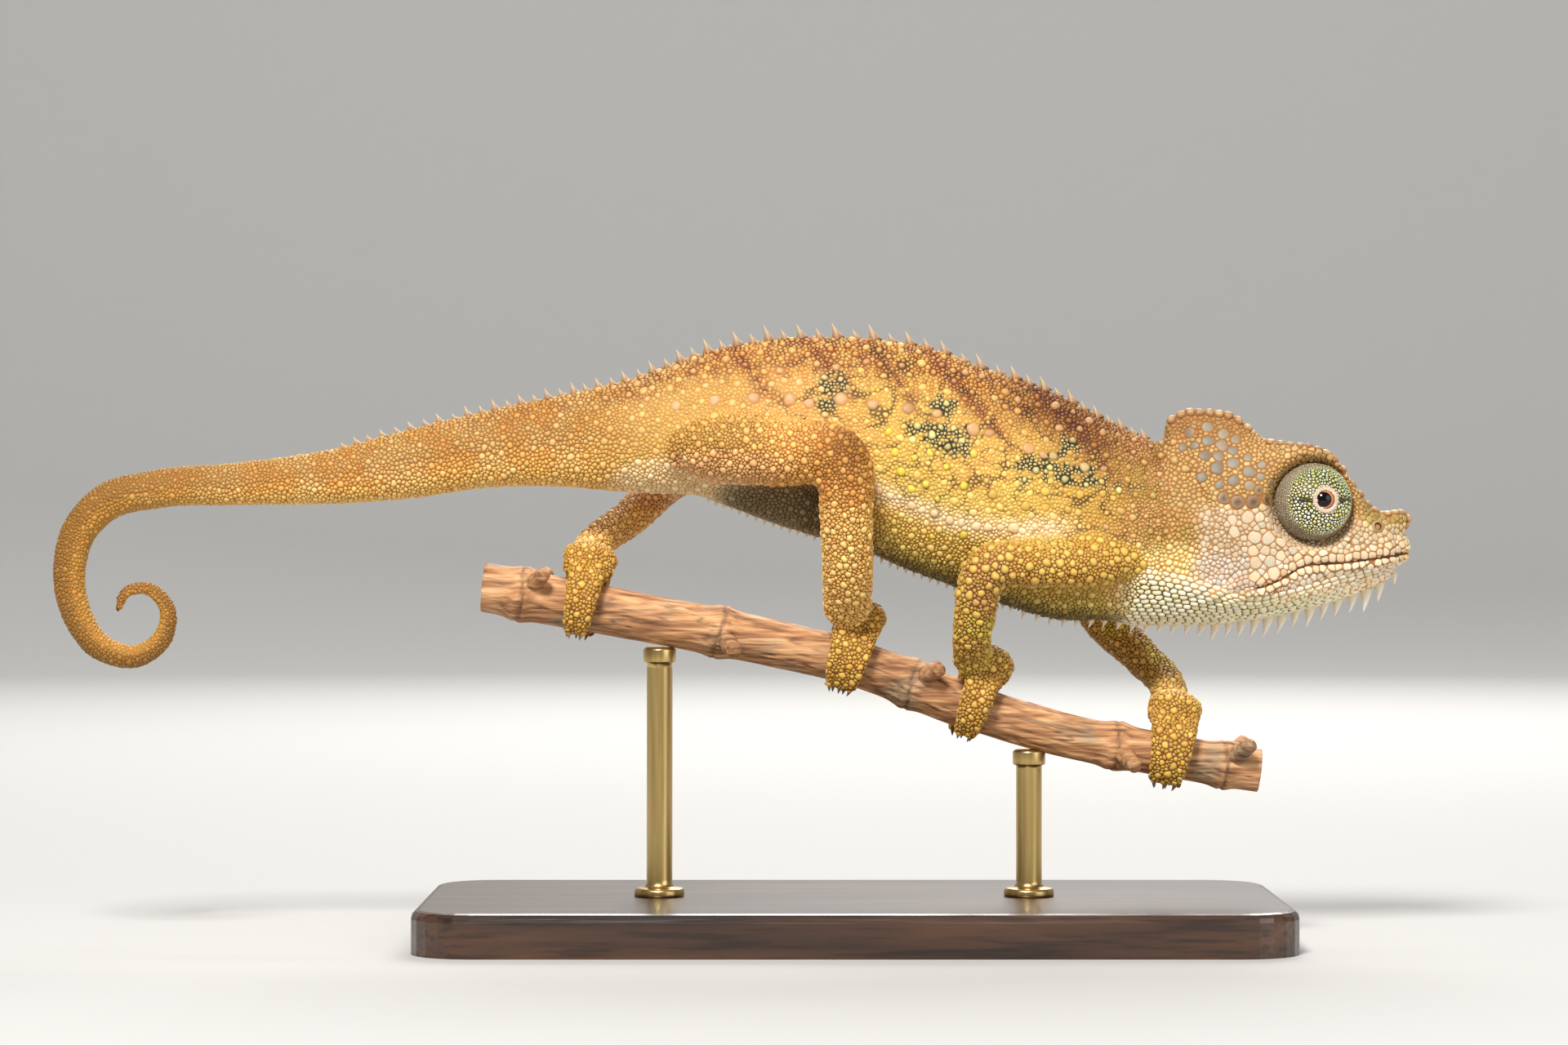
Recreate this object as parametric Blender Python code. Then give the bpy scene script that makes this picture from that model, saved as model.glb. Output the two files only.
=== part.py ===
"""Von Hoehnel's chameleon, life size, walking along a cut twig that two short rods hold over a flat base.

Metres, +Z up, head towards +X, the animal's right side towards -Y. The origin is the middle of the
base's underside. Sizes below are in millimetres and MM turns them into metres.
"""

import math
import random

import bmesh
import bpy
from mathutils import Matrix, Vector
from mathutils.bvhtree import BVHTree

MM = 0.001
GAP = 0.3  # between pieces that meet
X_AXIS, Y_AXIS, Z_AXIS = Vector((1, 0, 0)), Vector((0, 1, 0)), Vector((0, 0, 1))

# The trunk from the neck to the tail's tip: x, z of the middle, half height, half width.
TRUNK = [
    (35.8, 47.1, 10.6, 5.9),
    (33.8, 47.5, 11.1, 6.0),
    (29.0, 48.9, 11.9, 6.3),
    (24.3, 50.2, 13.1, 6.9),
    (19.6, 51.7, 13.5, 7.4),
    (14.8, 53.3, 13.4, 7.7),
    (10.1, 55.1, 13.5, 7.8),
    (5.3, 56.5, 13.1, 7.7),
    (0.6, 57.8, 12.3, 7.4),
    (-4.2, 58.5, 11.7, 6.9),
    (-8.9, 59.1, 10.9, 6.3),
    (-13.7, 59.6, 9.6, 5.7),
    (-18.4, 59.8, 8.2, 5.2),
    (-23.2, 59.0, 7.2, 4.7),
    (-27.0, 58.5, 6.5, 4.3),
    (-32.7, 58.1, 5.6, 3.9),
    (-42.2, 57.1, 4.6, 3.5),
    (-51.7, 55.3, 4.1, 3.1),
    (-59.3, 54.0, 3.4, 2.8),
    (-71.6, 53.0, 2.6, 2.35),
    (-81.0, 52.4, 2.35, 2.15),
    (-86.8, 50.9, 2.3, 2.1),
    (-90.0, 47.6, 2.15, 2.0),
    (-91.2, 43.0, 2.0, 1.9),
    (-90.4, 38.0, 1.85, 1.75),
    (-87.6, 34.0, 1.65, 1.6),
    (-83.4, 32.9, 1.45, 1.4),
    (-80.2, 35.2, 1.25, 1.2),
    (-79.8, 38.6, 1.05, 1.0),
    (-82.2, 40.9, 0.9, 0.9),
    (-84.8, 40.2, 0.75, 0.75),
    (-85.5, 38.2, 0.5, 0.5),
]
# Sections are upright ahead of the first x and square to the tail's line behind the second.
UPRIGHT_TO, SQUARE_FROM = -42.0, -62.0
CURL_POINT = 20  # the point of TRUNK where the tail's curl starts
WIDEST = -0.1  # how far below its middle a section is widest, as a share of its half height
KEEL = 1.75  # power of the upper half's outline, 2 for an ellipse, lower for a sharper back
TRUNK_SIDES, TAIL_SIDES = 20, 12

# Nodes of the trunk with the length along it where each ends, in millimetres from the neck.
TRUNK_NODES = [
    ("neck", 9.4, TRUNK_SIDES, 2.4),
    ("torso", 59.5, TRUNK_SIDES, 3.2),
    ("tail_1", 82.0, 16, 3.6),
    ("tail_2", 108.0, TAIL_SIDES, 4.0),
    ("tail_3", 131.0, TAIL_SIDES, 3.2),
    ("tail_4", 149.0, TAIL_SIDES, 2.2),
    ("tail_5", None, 10, 1.6),
]

# The dorsal crest: x, height of a large spine, distance between large spines.
CREST = [
    (34.0, 1.0, 2.6),
    (22.0, 1.5, 3.6),
    (5.0, 1.6, 4.3),
    (-12.0, 1.5, 3.6),
    (-24.0, 1.1, 3.0),
    (-45.0, 0.85, 3.1),
    (-60.0, 0.6, 3.2),
]
CREST_SMALL = 0.6  # height of the spine between two large ones, against theirs
CREST_LEAN = 0.25  # how far the crest's spines lean backwards
SPINE_SLIMNESS = 0.42  # radius of a spine's foot against its height
SPINE_ROOT = 0.9  # depth of a spine's foot under the surface
SPINE_CLEAR = 0.9  # least distance from a spine's middle to the end of its node
# The row of spines under the chin and throat: x, height.
GULAR = [
    (62.9, 0.8), (61.6, 1.6), (59.3, 2.1), (53.0, 1.9),
    (45.0, 1.9), (38.0, 1.0), (32.0, 0.8), (19.0, 0.7),
]
GULAR_STEP = 1.6

# Rows of enlarged round plates on each flank: x and z along the row, the plates' radius, their spacing.
FLANK_ROWS = [
    ([(-8.0, 62.8), (2.0, 62.4), (9.6, 61.1), (19.6, 58.0), (27.0, 55.2)], 1.3, 3.9),
    ([(5.0, 56.4), (9.0, 54.6), (16.0, 53.2), (26.0, 51.8)], 0.95, 3.4),
    ([(5.0, 51.4), (9.3, 49.8), (14.1, 48.9), (26.0, 48.9)], 1.1, 3.3),
]
# Rows of round plates on each side of the head: first and last place, number, radius.
HEAD_ROWS = [
    ((39.0, 58.9), (44.4, 58.1), 4, 0.82),
    ((40.6, 56.2), (45.6, 54.3), 4, 0.95),
    ((40.3, 53.7), (45.7, 52.7), 4, 0.88),
    ((42.6, 51.0), (47.6, 50.9), 4, 0.92),
    ((43.6, 48.9), (48.1, 49.0), 4, 0.68),
    ((43.8, 46.9), (49.0, 46.4), 4, 0.86),
]
PLATE_RISE, BEAD_RISE = 0.4, 0.6  # how far a plate or a bead stands out, as a share of its radius
PLATE_SIDES, PLATE_RINGS = 7, 4
# Beads along the casque's crest and over the eye to the snout: from x, to x, spacing, radius.
CREST_BEADS = [(36.8, 45.2, 1.4, 0.8), (49.0, 57.0, 1.6, 0.7), (58.8, 61.8, 1.5, 0.6)]
SNOUT_BUMPS = [(62.9, 1.1, 49.9, 0.85), (64.3, 0.8, 48.2, 0.7)]  # x, y, z and radius on the left side

# The head's outline rows from the top to the underside, each as x, half width, z.
HEAD_STATIONS = [
    36.1, 36.6, 37.5, 39.0, 41.0, 43.0, 44.6, 46.1, 47.6, 49.0, 50.5, 52.0, 53.5,
    55.0, 56.3, 57.5, 58.7, 60.0, 61.4, 62.8, 63.8, 64.5, 64.9,
]
TOP_LINE = [
    (36.1, 0, 58.8), (36.6, 0, 60.1), (37.5, 0, 61.0), (39.0, 0, 61.6), (42.9, 0, 61.5), (44.6, 0, 60.8),
    (47.6, 0, 58.3), (49.0, 0, 57.4), (52.6, 0, 56.9), (55.0, 0, 56.3), (56.3, 0, 55.4), (58.4, 0, 52.4),
    (60.0, 0, 50.6), (62.1, 0, 50.0), (63.7, 0, 50.1), (64.5, 0, 49.5), (64.9, 0, 49.0),
]
CREST_LINE = [
    (36.1, 0.9, 58.5), (36.6, 0.9, 59.9), (37.5, 1.0, 60.7), (39.0, 1.1, 61.3), (42.9, 1.1, 61.1),
    (44.6, 1.2, 60.5), (47.6, 2.3, 58.3), (49.5, 3.6, 57.8), (52.5, 4.1, 57.5), (55.0, 3.9, 56.6),
    (56.3, 3.4, 55.5), (58.4, 2.6, 52.5), (60.5, 2.0, 50.5), (62.5, 1.6, 49.9), (63.7, 1.3, 49.9),
    (64.5, 0.9, 49.3), (64.9, 0.5, 48.9),
]
TEMPLE_LINE = [
    (36.1, 2.5, 56.0), (39.0, 2.7, 57.6), (42.0, 3.0, 57.4), (45.0, 3.8, 56.5), (48.0, 4.7, 55.8),
    (50.5, 5.1, 56.2), (53.5, 5.2, 55.9), (56.0, 4.4, 54.3), (58.0, 3.6, 51.9), (60.0, 2.8, 50.1),
    (62.0, 2.3, 49.4), (63.8, 1.8, 49.2), (64.5, 1.3, 48.8), (64.9, 0.8, 48.5),
]
EYE_LINE = [
    (36.1, 4.7, 52.5), (39.0, 4.7, 53.3), (45.0, 5.5, 52.6), (48.0, 5.7, 52.2), (53.5, 5.3, 51.5),
    (58.0, 4.2, 50.0), (60.0, 3.5, 48.9), (62.0, 2.9, 48.3), (63.8, 2.3, 47.9), (64.5, 1.7, 47.8),
    (64.9, 1.0, 47.7),
]
CHEEK_LINE = [
    (36.1, 5.9, 48.5), (42.0, 6.2, 48.0), (46.0, 6.3, 47.6), (50.0, 6.0, 47.2), (54.0, 5.4, 46.8),
    (58.0, 4.6, 46.5), (61.0, 3.8, 46.4), (63.0, 3.1, 46.4), (63.8, 2.8, 46.4), (64.5, 2.0, 46.4),
    (64.9, 1.2, 46.4),
]
MOUTH_LINE = [
    (36.1, 5.8, 42.4), (42.0, 6.0, 41.2), (46.1, 5.9, 40.9), (48.0, 5.8, 41.4), (49.9, 5.6, 42.3),
    (51.5, 5.4, 43.3), (52.6, 5.3, 43.6), (56.1, 4.8, 43.8), (59.5, 4.2, 44.2), (61.0, 3.8, 44.4),
    (63.0, 3.1, 44.7), (63.8, 2.7, 44.8), (64.5, 2.0, 44.9), (64.9, 1.2, 44.9),
]
JAW_LINE = [
    (36.1, 5.2, 40.2), (42.0, 5.3, 39.3), (46.0, 5.1, 39.1), (50.0, 4.6, 39.8), (54.0, 3.9, 40.6),
    (58.0, 3.0, 41.7), (61.0, 2.3, 42.6), (63.0, 1.7, 43.4), (64.5, 1.1, 44.1), (64.9, 0.8, 44.3),
]
THROAT_LINE = [
    (36.1, 3.4, 37.6), (42.0, 3.0, 37.3), (46.0, 2.7, 37.5), (50.0, 2.3, 38.2), (54.0, 1.9, 39.2),
    (58.0, 1.5, 40.4), (61.0, 1.1, 41.6), (63.0, 0.8, 42.8), (64.5, 0.5, 43.8), (64.9, 0.4, 44.1),
]
KEEL_LINE = [
    (36.1, 0, 36.5), (41.1, 0, 36.5), (45.7, 0, 37.0), (50.3, 0, 37.7), (53.8, 0, 38.6), (58.4, 0, 39.9),
    (61.8, 0, 41.4), (63.6, 0, 42.7), (64.5, 0, 43.6), (64.9, 0, 44.0),
]
MOUTH_CORNER_X, MOUTH_FADE = 46.1, 1.2
LIP_HEIGHT, MOUTH_DEPTH = 0.5, 0.6  # of each lip's rim above or below the line, and of the line itself
UPPER_LIP_OVERHANG = 0.12

EYE_CENTRE = Vector((53.4, 3.1, 50.9))  # on the left side; the right one is its mirror image
TURRET_RADIUS, TURRET_INNER_Y = 4.65, 2.4
GAZE_FORWARD = math.radians(18)
EYEBALL_RADIUS, PUPIL_RING_RADIUS, LID_RADIUS = 1.5, 1.1, 1.75
LID_SET_BACK, LID_THICKNESS = 0.965, 0.12  # the lid's rim, as a share of the turret's radius and in mm
CORNEA_STANDS_OUT = 0.15
TURRET_SIDES = 18
NOSTRIL = Vector((60.6, 3.3, 48.0))
NOSTRIL_RADIUS, NOSTRIL_DEPTH = 0.7, 1.0

# The twig: x and z along its middle.
TWIG = [
    (-43.0, 41.0), (-31.6, 38.8), (-17.5, 36.1), (-0.7, 32.4),
    (13.9, 27.0), (25.2, 23.6), (36.6, 21.4), (47.5, 19.6),
]
TWIG_RADIUS, TWIG_SIDES = 3.0, 12
TWIG_KNOTS = [-38.5, -15.5, 6.8, 30.6, 43.2]  # x of the rings where leaves were cut off
KNOT_SWELL, KNOT_LENGTH = 0.45, 1.3
TWIG_TAPER = 0.0016  # loss of radius for each millimetre towards the head end
STUB_RADIUS, STUB_LENGTH = 1.0, 2.6

BASE_SIZE = Vector((100.0, 48.0, 5.0))
BASE_CORNER, BASE_BEVEL = 7.0, 1.0
ROD_RADIUS = 1.5
ROD_X = {"stand_rod_rear": -22.5, "stand_rod_front": 20.5}

# Each leg from its root to the sole: side is -1 for the right and 1 for the left.
LEGS = {
    "fore_right": {
        "side": -1,
        "points": [
            (32.8, -3.6, 43.9),
            (28.6, -6.0, 43.8),
            (22.2, -8.0, 43.5),
            (15.1, -9.5, 43.0),
            (13.9, -8.0, 38.4),
            (13.6, -5.4, 34.6),
            (13.8, -2.4, 32.2),
        ],
        "radii": [1.9, 2.65, 2.5, 2.75, 2.5, 2.3, 2.3],
        "grip_x": 13.9,
        "outer_toes": 2,
    },
    "fore_left": {
        "side": 1,
        "points": [
            (31.4, 3.2, 44.2),
            (30.6, 6.6, 43.0),
            (29.8, 10.6, 41.0),
            (29.6, 14.4, 38.0),
            (34.0, 11.2, 33.0),
            (37.2, 6.4, 29.2),
            (37.0, 2.4, 26.6),
        ],
        "radii": [2.4, 2.7, 2.5, 2.6, 2.35, 2.2, 2.3],
        "grip_x": 36.6,
        "outer_toes": 2,
    },
    "hind_right": {
        "side": -1,
        "points": [
            (-20.6, -3.4, 57.4),
            (-15.6, -5.6, 56.9),
            (-9.0, -7.8, 56.5),
            (-1.6, -10.8, 55.6),
            (-0.9, -9.7, 48.8),
            (-0.7, -6.8, 42.4),
            (-0.7, -2.6, 38.0),
        ],
        "radii": [2.2, 3.7, 3.9, 3.5, 3.1, 3.0, 2.8],
        "grip_x": -0.7,
        "outer_toes": 3,
    },
    "hind_left": {
        "side": 1,
        "points": [
            (-16.8, 2.6, 57.0),
            (-18.2, 6.6, 56.2),
            (-20.6, 11.0, 54.8),
            (-22.9, 14.8, 52.6),
            (-26.4, 11.2, 49.0),
            (-29.6, 6.4, 46.6),
            (-31.4, 2.6, 44.0),
        ],
        "radii": [3.0, 3.7, 3.1, 2.6, 2.3, 2.2, 2.4],
        "grip_x": -31.6,
        "outer_toes": 3,
    },
}
LEG_SIDES = 12
BEND_REACH = 2.0  # a tube's ring faces along the path this far before and after it
LEG_NODES = {"fore": ("upper_arm", "forearm", "hand"), "hind": ("thigh", "shin", "foot")}
KNEE_POINT, ANKLE_POINT = 3, 5  # which of a leg's points are its knee and its ankle
TOE_RADIUS = {2: 1.35, 3: 1.2}  # by the number of toes in the bundle
TOE_TIP_SHARE = 0.62
TOE_TURN = (math.radians(112), math.radians(-42))  # a toe's start and end round the twig, from its side
CLAW_LENGTH, CLAW_RADIUS = 1.5, 0.42
PALM_HALF_HEIGHT = 2.2

COLOURS = {
    "skin_body": (0.62, 0.42, 0.18),
    "skin_head": (0.60, 0.44, 0.27),
    "skin_leg": (0.55, 0.33, 0.14),
    "skin_tail": (0.60, 0.37, 0.18),
    "skin_turret": (0.36, 0.38, 0.22),
    "eye": (0.03, 0.02, 0.015),
    "bark": (0.42, 0.24, 0.12),
    "stand_wood": (0.09, 0.055, 0.035),
    "stand_metal": (0.55, 0.47, 0.30),
}
ROUGHNESS = {"eye": 0.08, "bark": 0.7, "stand_wood": 0.4, "stand_metal": 0.3}
SKIN_ROUGHNESS = 0.55


def clear_scene():
    for obj in list(bpy.data.objects):
        bpy.data.objects.remove(obj)


def material(name):
    """The Principled material of that name, made the first time it is asked for."""
    if name in bpy.data.materials:
        return bpy.data.materials[name]
    made = bpy.data.materials.new(name)
    made.use_nodes = True
    shader = made.node_tree.nodes["Principled BSDF"]
    shader.inputs["Base Color"].default_value = (*COLOURS[name], 1)
    shader.inputs["Roughness"].default_value = ROUGHNESS.get(name, SKIN_ROUGHNESS)
    shader.inputs["Metallic"].default_value = 1.0 if name == "stand_metal" else 0.0
    return made


def collection(name):
    made = bpy.data.collections.new(name)
    bpy.context.scene.collection.children.link(made)
    return made


def to_object(name, bm, holder, finish=None):
    """Turns a bmesh in millimetres into a smooth-shaded object in metres."""
    bmesh.ops.recalc_face_normals(bm, faces=bm.faces)
    bm.transform(Matrix.Scale(MM, 4))
    mesh = bpy.data.meshes.new(name)
    bm.to_mesh(mesh)
    bm.free()
    mesh.shade_smooth()
    mesh.set_sharp_from_angle(angle=math.radians(50))
    obj = bpy.data.objects.new(name, mesh)
    holder.objects.link(obj)
    if finish:
        mesh.materials.append(material(finish))
    return obj


def slopes_of(keys, column, limited):
    """The slope of a curve at each key; limited slopes never overshoot a key."""
    steps = [(b[column] - a[column]) / (b[0] - a[0]) for a, b in zip(keys, keys[1:])]
    slopes = [steps[0]]
    for i in range(1, len(keys) - 1):
        before, after = keys[i][0] - keys[i - 1][0], keys[i + 1][0] - keys[i][0]
        if limited and steps[i - 1] * steps[i] <= 0:
            slopes.append(0.0)
        elif limited:
            slopes.append(2 * steps[i - 1] * steps[i] / (steps[i - 1] + steps[i]))
        else:
            slopes.append((steps[i - 1] * after + steps[i] * before) / (before + after))
    slopes.append(steps[-1])
    return slopes


def curve_at(keys, at, limited=True):
    """The values of a smooth curve through keys, each (place, value, value...), at a place."""
    at = min(max(at, keys[0][0]), keys[-1][0])
    i = max(0, min(len(keys) - 2, sum(key[0] <= at for key in keys) - 1))
    a, b = keys[i], keys[i + 1]
    width = b[0] - a[0]
    t = (at - a[0]) / width
    values = []
    for column in range(1, len(a)):
        slopes = slopes_of(keys, column, limited)
        values.append(
            a[column] * (1 + 2 * t) * (1 - t) ** 2
            + b[column] * (3 - 2 * t) * t * t
            + slopes[i] * width * t * (1 - t) ** 2
            - slopes[i + 1] * width * (1 - t) * t * t
        )
    return values


def measured(points):
    """Rows of (x, y, z, size...) with the length along them put first, for curve_at."""
    length, rows = 0.0, []
    for i, point in enumerate(points):
        if i:
            length += (Vector(point[:3]) - Vector(points[i - 1][:3])).length
        rows.append((length, *point))
    return rows


def spread(start, end, step):
    """Places from start to end, about a step apart."""
    count = max(1, round((end - start) / step))
    return [start + (end - start) * i / count for i in range(count + 1)]


def bridge_rings(rings):
    """A closed bmesh through rings of points, with a flat cap at each end."""
    bm = bmesh.new()
    rows = [[bm.verts.new(point) for point in ring] for ring in rings]
    for low, high in zip(rows, rows[1:]):
        for i in range(len(low)):
            j = (i + 1) % len(low)
            bm.faces.new((low[i], low[j], high[j], high[i]))
    bm.faces.new(rows[0])
    bm.faces.new(rows[-1])
    return bm


TRUNK_PATH = measured([(x, 0.0, z, up, side) for x, z, up, side in TRUNK])


def trunk_frame(length):
    """Middle, dorsal direction, half height and half width of the trunk at a length along it."""
    x, y, z, up, side = curve_at(TRUNK_PATH, length, limited=False)
    ahead = curve_at(TRUNK_PATH, length + 0.2, limited=False)
    behind = curve_at(TRUNK_PATH, length - 0.2, limited=False)
    along = (Vector(ahead[:3]) - Vector(behind[:3])).normalized()
    share = min(max((UPRIGHT_TO - x) / (UPRIGHT_TO - SQUARE_FROM), 0), 1)
    if length > TRUNK_PATH[CURL_POINT][0]:
        share = 1
    along = (-X_AXIS).lerp(along, share).normalized()
    return Vector((x, y, z)), Y_AXIS.cross(along).normalized(), up, side


def trunk_ring(length, sides, inflate=0.0):
    middle, dorsal, up, side = trunk_frame(length)
    up, side = up + inflate, side + inflate
    points = []
    for i in range(sides):
        angle = 2 * math.pi * i / sides
        rise, reach = math.cos(angle), math.sin(angle)
        if rise > 0:
            high = WIDEST + (1 - WIDEST) * rise ** (2 / KEEL)
            wide = math.copysign(abs(reach) ** (2 / KEEL), reach)
        else:
            high, wide = WIDEST + (1 + WIDEST) * rise, reach
        points.append(middle + dorsal * up * high + Y_AXIS * side * wide)
    return points


def trunk_length_at(x):
    """The length along the trunk where its middle passes x, ahead of the tail's curl."""
    low, high = 0.0, TRUNK_PATH[CURL_POINT][0]
    for _ in range(40):
        half = (low + high) / 2
        if curve_at(TRUNK_PATH, half, limited=False)[0] > x:
            low = half
        else:
            high = half
    return low


def cone(bm, foot, direction, height, radius, sides=5):
    """Adds a cone whose base circle is round foot and whose tip is height away along direction."""
    turn = Z_AXIS.rotation_difference(direction).to_matrix().to_4x4()
    bmesh.ops.create_cone(
        bm,
        cap_ends=True,
        segments=sides,
        radius1=radius,
        radius2=0,
        depth=height,
        matrix=Matrix.Translation(foot + direction * height / 2) @ turn,
    )


def spine_object(name, holder, on_surface, direction, height):
    """One spine with its root sunk into the surface; it widens a little on the way down to the root."""
    direction = direction.normalized()
    whole = height + SPINE_ROOT
    radius = max(height * SPINE_SLIMNESS, 0.35) * whole / height
    bm = bmesh.new()
    cone(bm, on_surface - direction * SPINE_ROOT, direction, whole, radius)
    return to_object(name, bm, holder)


def side_view(node):
    """A function that finds a node's surface and normal at x, z as seen from one side."""
    mesh = node.data
    corners = [vert.co for vert in mesh.vertices]
    tree = BVHTree.FromPolygons(corners, [face.vertices for face in mesh.polygons])

    def find(x, z, side):
        point, normal, _, _ = tree.ray_cast(Vector((x, 40 * side, z)) * MM, Vector((0, -side, 0)))
        return point / MM, normal

    return find


def dome(holder, point, normal, radius, rise):
    """A low round plate or bead on a surface, with its lower half sunk into it."""
    bm = bmesh.new()
    ball_segment(bm, Vector(), 1.0, PLATE_SIDES, PLATE_RINGS)
    turn = Z_AXIS.rotation_difference(normal).to_matrix().to_4x4()
    size = Matrix.Diagonal((radius, radius, rise * 2, 1))
    bm.transform(Matrix.Translation(point - normal * rise) @ turn @ size)
    return to_object("plate", bm, holder)


def flank_plates(node, holder, rng):
    find = side_view(node)
    for row, radius, step in FLANK_ROWS:
        for side in (-1, 1):
            x = row[0][0] + rng.uniform(0, 0.5) * step
            while x < row[-1][0]:
                z = curve_at(row, x)[0] + rng.uniform(-0.35, 0.35)
                size = radius * rng.uniform(0.85, 1.12)
                dome(holder, *find(x, z, side), size, size * PLATE_RISE)
                x += step * rng.uniform(0.88, 1.12)


def head_plates(node, holder, rng):
    find = side_view(node)
    for first, last, count, radius in HEAD_ROWS:
        for side in (-1, 1):
            for i in range(count):
                x, z = Vector(first).lerp(Vector(last), i / (count - 1))
                size = radius * rng.uniform(0.9, 1.1)
                dome(holder, *find(x + rng.uniform(-0.2, 0.2), z, side), size, size * PLATE_RISE)
    for first, last, step, radius in CREST_BEADS:
        for x in spread(first, last, step):
            y, z = curve_at(CREST_LINE, x)
            for side in (-1, 1):
                out = Vector((0, 0.45 * side, 1)).normalized()
                size = radius * rng.uniform(0.9, 1.1)
                dome(holder, Vector((x, y * side, z)), out, size, size * BEAD_RISE)
    for x, y, z, radius in SNOUT_BUMPS:
        for side in (-1, 1):
            forwards = Vector((0.45, 0.2 * side, 0.85)).normalized()
            dome(holder, Vector((x, y * side, z)), forwards, radius, radius * BEAD_RISE)


def applied(obj):
    """Bakes the object's modifiers into its mesh."""
    graph = bpy.context.evaluated_depsgraph_get()
    mesh = bpy.data.meshes.new_from_object(obj.evaluated_get(graph))
    obj.modifiers.clear()
    obj.data = mesh


def keep_largest(obj):
    """Leaves only the object's largest closed surface."""
    bm = bmesh.new()
    bm.from_mesh(obj.data)
    left, islands = set(bm.faces), []
    while left:
        seed = left.pop()
        island, front = {seed}, [seed]
        while front:
            for edge in front.pop().edges:
                for face in edge.link_faces:
                    if face in left:
                        left.remove(face)
                        island.add(face)
                        front.append(face)
        islands.append(island)
    if len(islands) > 1:
        largest = max(islands, key=lambda island: sum(face.calc_area() for face in island))
        scraps = [face for face in bm.faces if face not in largest]
        bmesh.ops.delete(bm, geom=scraps, context="FACES")
        loose = [vert for vert in bm.verts if not vert.link_faces]
        bmesh.ops.delete(bm, geom=loose, context="VERTS")
    bm.to_mesh(obj.data)
    bm.free()


def combine(obj, others, operation):
    """Joins or cuts obj with every object of a collection, then removes those and the collection."""
    modifier = obj.modifiers.new(operation, "BOOLEAN")
    modifier.operation = operation
    modifier.operand_type = "COLLECTION"
    modifier.collection = others
    applied(obj)
    for other in list(others.objects):
        bpy.data.objects.remove(other)
    bpy.data.collections.remove(others)
    keep_largest(obj)
    obj.data.shade_smooth()
    obj.data.set_sharp_from_angle(angle=math.radians(50))


def crest_spines(rng):
    """Places of the dorsal crest's spines as (length along the trunk, height)."""
    spines, x = [], CREST[0][0]
    places = sorted(CREST)
    while x > CREST[-1][0]:
        height, step = curve_at(places, x)
        spines.append((trunk_length_at(x), height * rng.uniform(0.9, 1.1)))
        spines.append((trunk_length_at(x - step * 0.5), height * CREST_SMALL * rng.uniform(0.85, 1.15)))
        x -= step * rng.uniform(0.94, 1.06)
    return spines


def belly_spines(rng):
    """Places of the gular row behind the head as (length along the trunk, height)."""
    places, spines, x = sorted(GULAR), [], 34.6
    while x > GULAR[-1][0]:
        spines.append((trunk_length_at(x), curve_at(places, x)[0] * rng.uniform(0.85, 1.15)))
        x -= GULAR_STEP
    return spines


def build_trunk(holder):
    """Neck, torso and tail, cut square across between nodes, with the crest and the gular row on them."""
    rng = random.Random(7)
    above, below = crest_spines(rng), belly_spines(rng)
    start = 0.0
    whole = TRUNK_PATH[-1][0]
    for name, end, sides, step in TRUNK_NODES:
        end = whole if end is None else end
        first = start + (GAP / 2 if start else 0)
        last = end - (GAP / 2 if end < whole else 0)
        rings = [trunk_ring(length, sides) for length in spread(first, last, step)]
        finish = "skin_tail" if name.startswith("tail") else "skin_body"
        node = to_object(name, bridge_rings(rings), holder, finish)
        spines = collection(name + "_spines")
        for sign, row in ((1, above), (-1, below)):
            for length, height in row:
                if not first + SPINE_CLEAR < length < last - SPINE_CLEAR:
                    continue
                middle, dorsal, up, _ = trunk_frame(length)
                lean = -X_AXIS * CREST_LEAN if sign > 0 else Vector()
                spine_object("spine", spines, middle + dorsal * up * sign, dorsal * sign + lean, height)
        if name == "torso":
            flank_plates(node, spines, rng)
        combine(node, spines, "UNION")
        start = end


def head_ring(x):
    """The head's section at x: half of it from the rows, and its mirror image."""
    opening = min(max((x - MOUTH_CORNER_X) / MOUTH_FADE + 1, 0), 1)
    lip_y, mouth_z = curve_at(MOUTH_LINE, x)
    half = [tuple(curve_at(line, x)) for line in (TOP_LINE, CREST_LINE, TEMPLE_LINE, EYE_LINE, CHEEK_LINE)]
    half.append((lip_y + UPPER_LIP_OVERHANG * opening, mouth_z + LIP_HEIGHT))
    half.append((lip_y - MOUTH_DEPTH * opening, mouth_z))
    half.append((lip_y, mouth_z - LIP_HEIGHT))
    half += [tuple(curve_at(line, x)) for line in (JAW_LINE, THROAT_LINE, KEEL_LINE)]
    left = [Vector((x, y, z)) for y, z in half]
    right = [Vector((x, -y, z)) for y, z in half[-2:0:-1]]
    return left + right


def ball_segment(bm, centre, radius, sides, rings):
    bmesh.ops.create_uvsphere(
        bm, u_segments=sides, v_segments=rings, radius=radius, matrix=Matrix.Translation(centre)
    )


def socket(side, holder):
    """The hollow that an eye turret sits in: a ball cut off flat on its inner side."""
    centre = Vector((EYE_CENTRE.x, EYE_CENTRE.y * side, EYE_CENTRE.z))
    bm = bmesh.new()
    ball_segment(bm, centre, TURRET_RADIUS + GAP, 20, 12)
    cut_inside(bm, side, TURRET_INNER_Y - GAP)
    return to_object("socket", bm, holder)


def cut_inside(bm, side, depth):
    """Cuts a ball flat where it would come nearer to the head's middle than depth."""
    cut = bmesh.ops.bisect_plane(
        bm,
        geom=bm.verts[:] + bm.edges[:] + bm.faces[:],
        plane_co=(0, depth * side, 0),
        plane_no=(0, -side, 0),
        clear_outer=True,
    )
    edges = [item for item in cut["geom_cut"] if isinstance(item, bmesh.types.BMEdge)]
    bmesh.ops.contextual_create(bm, geom=edges)


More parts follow.
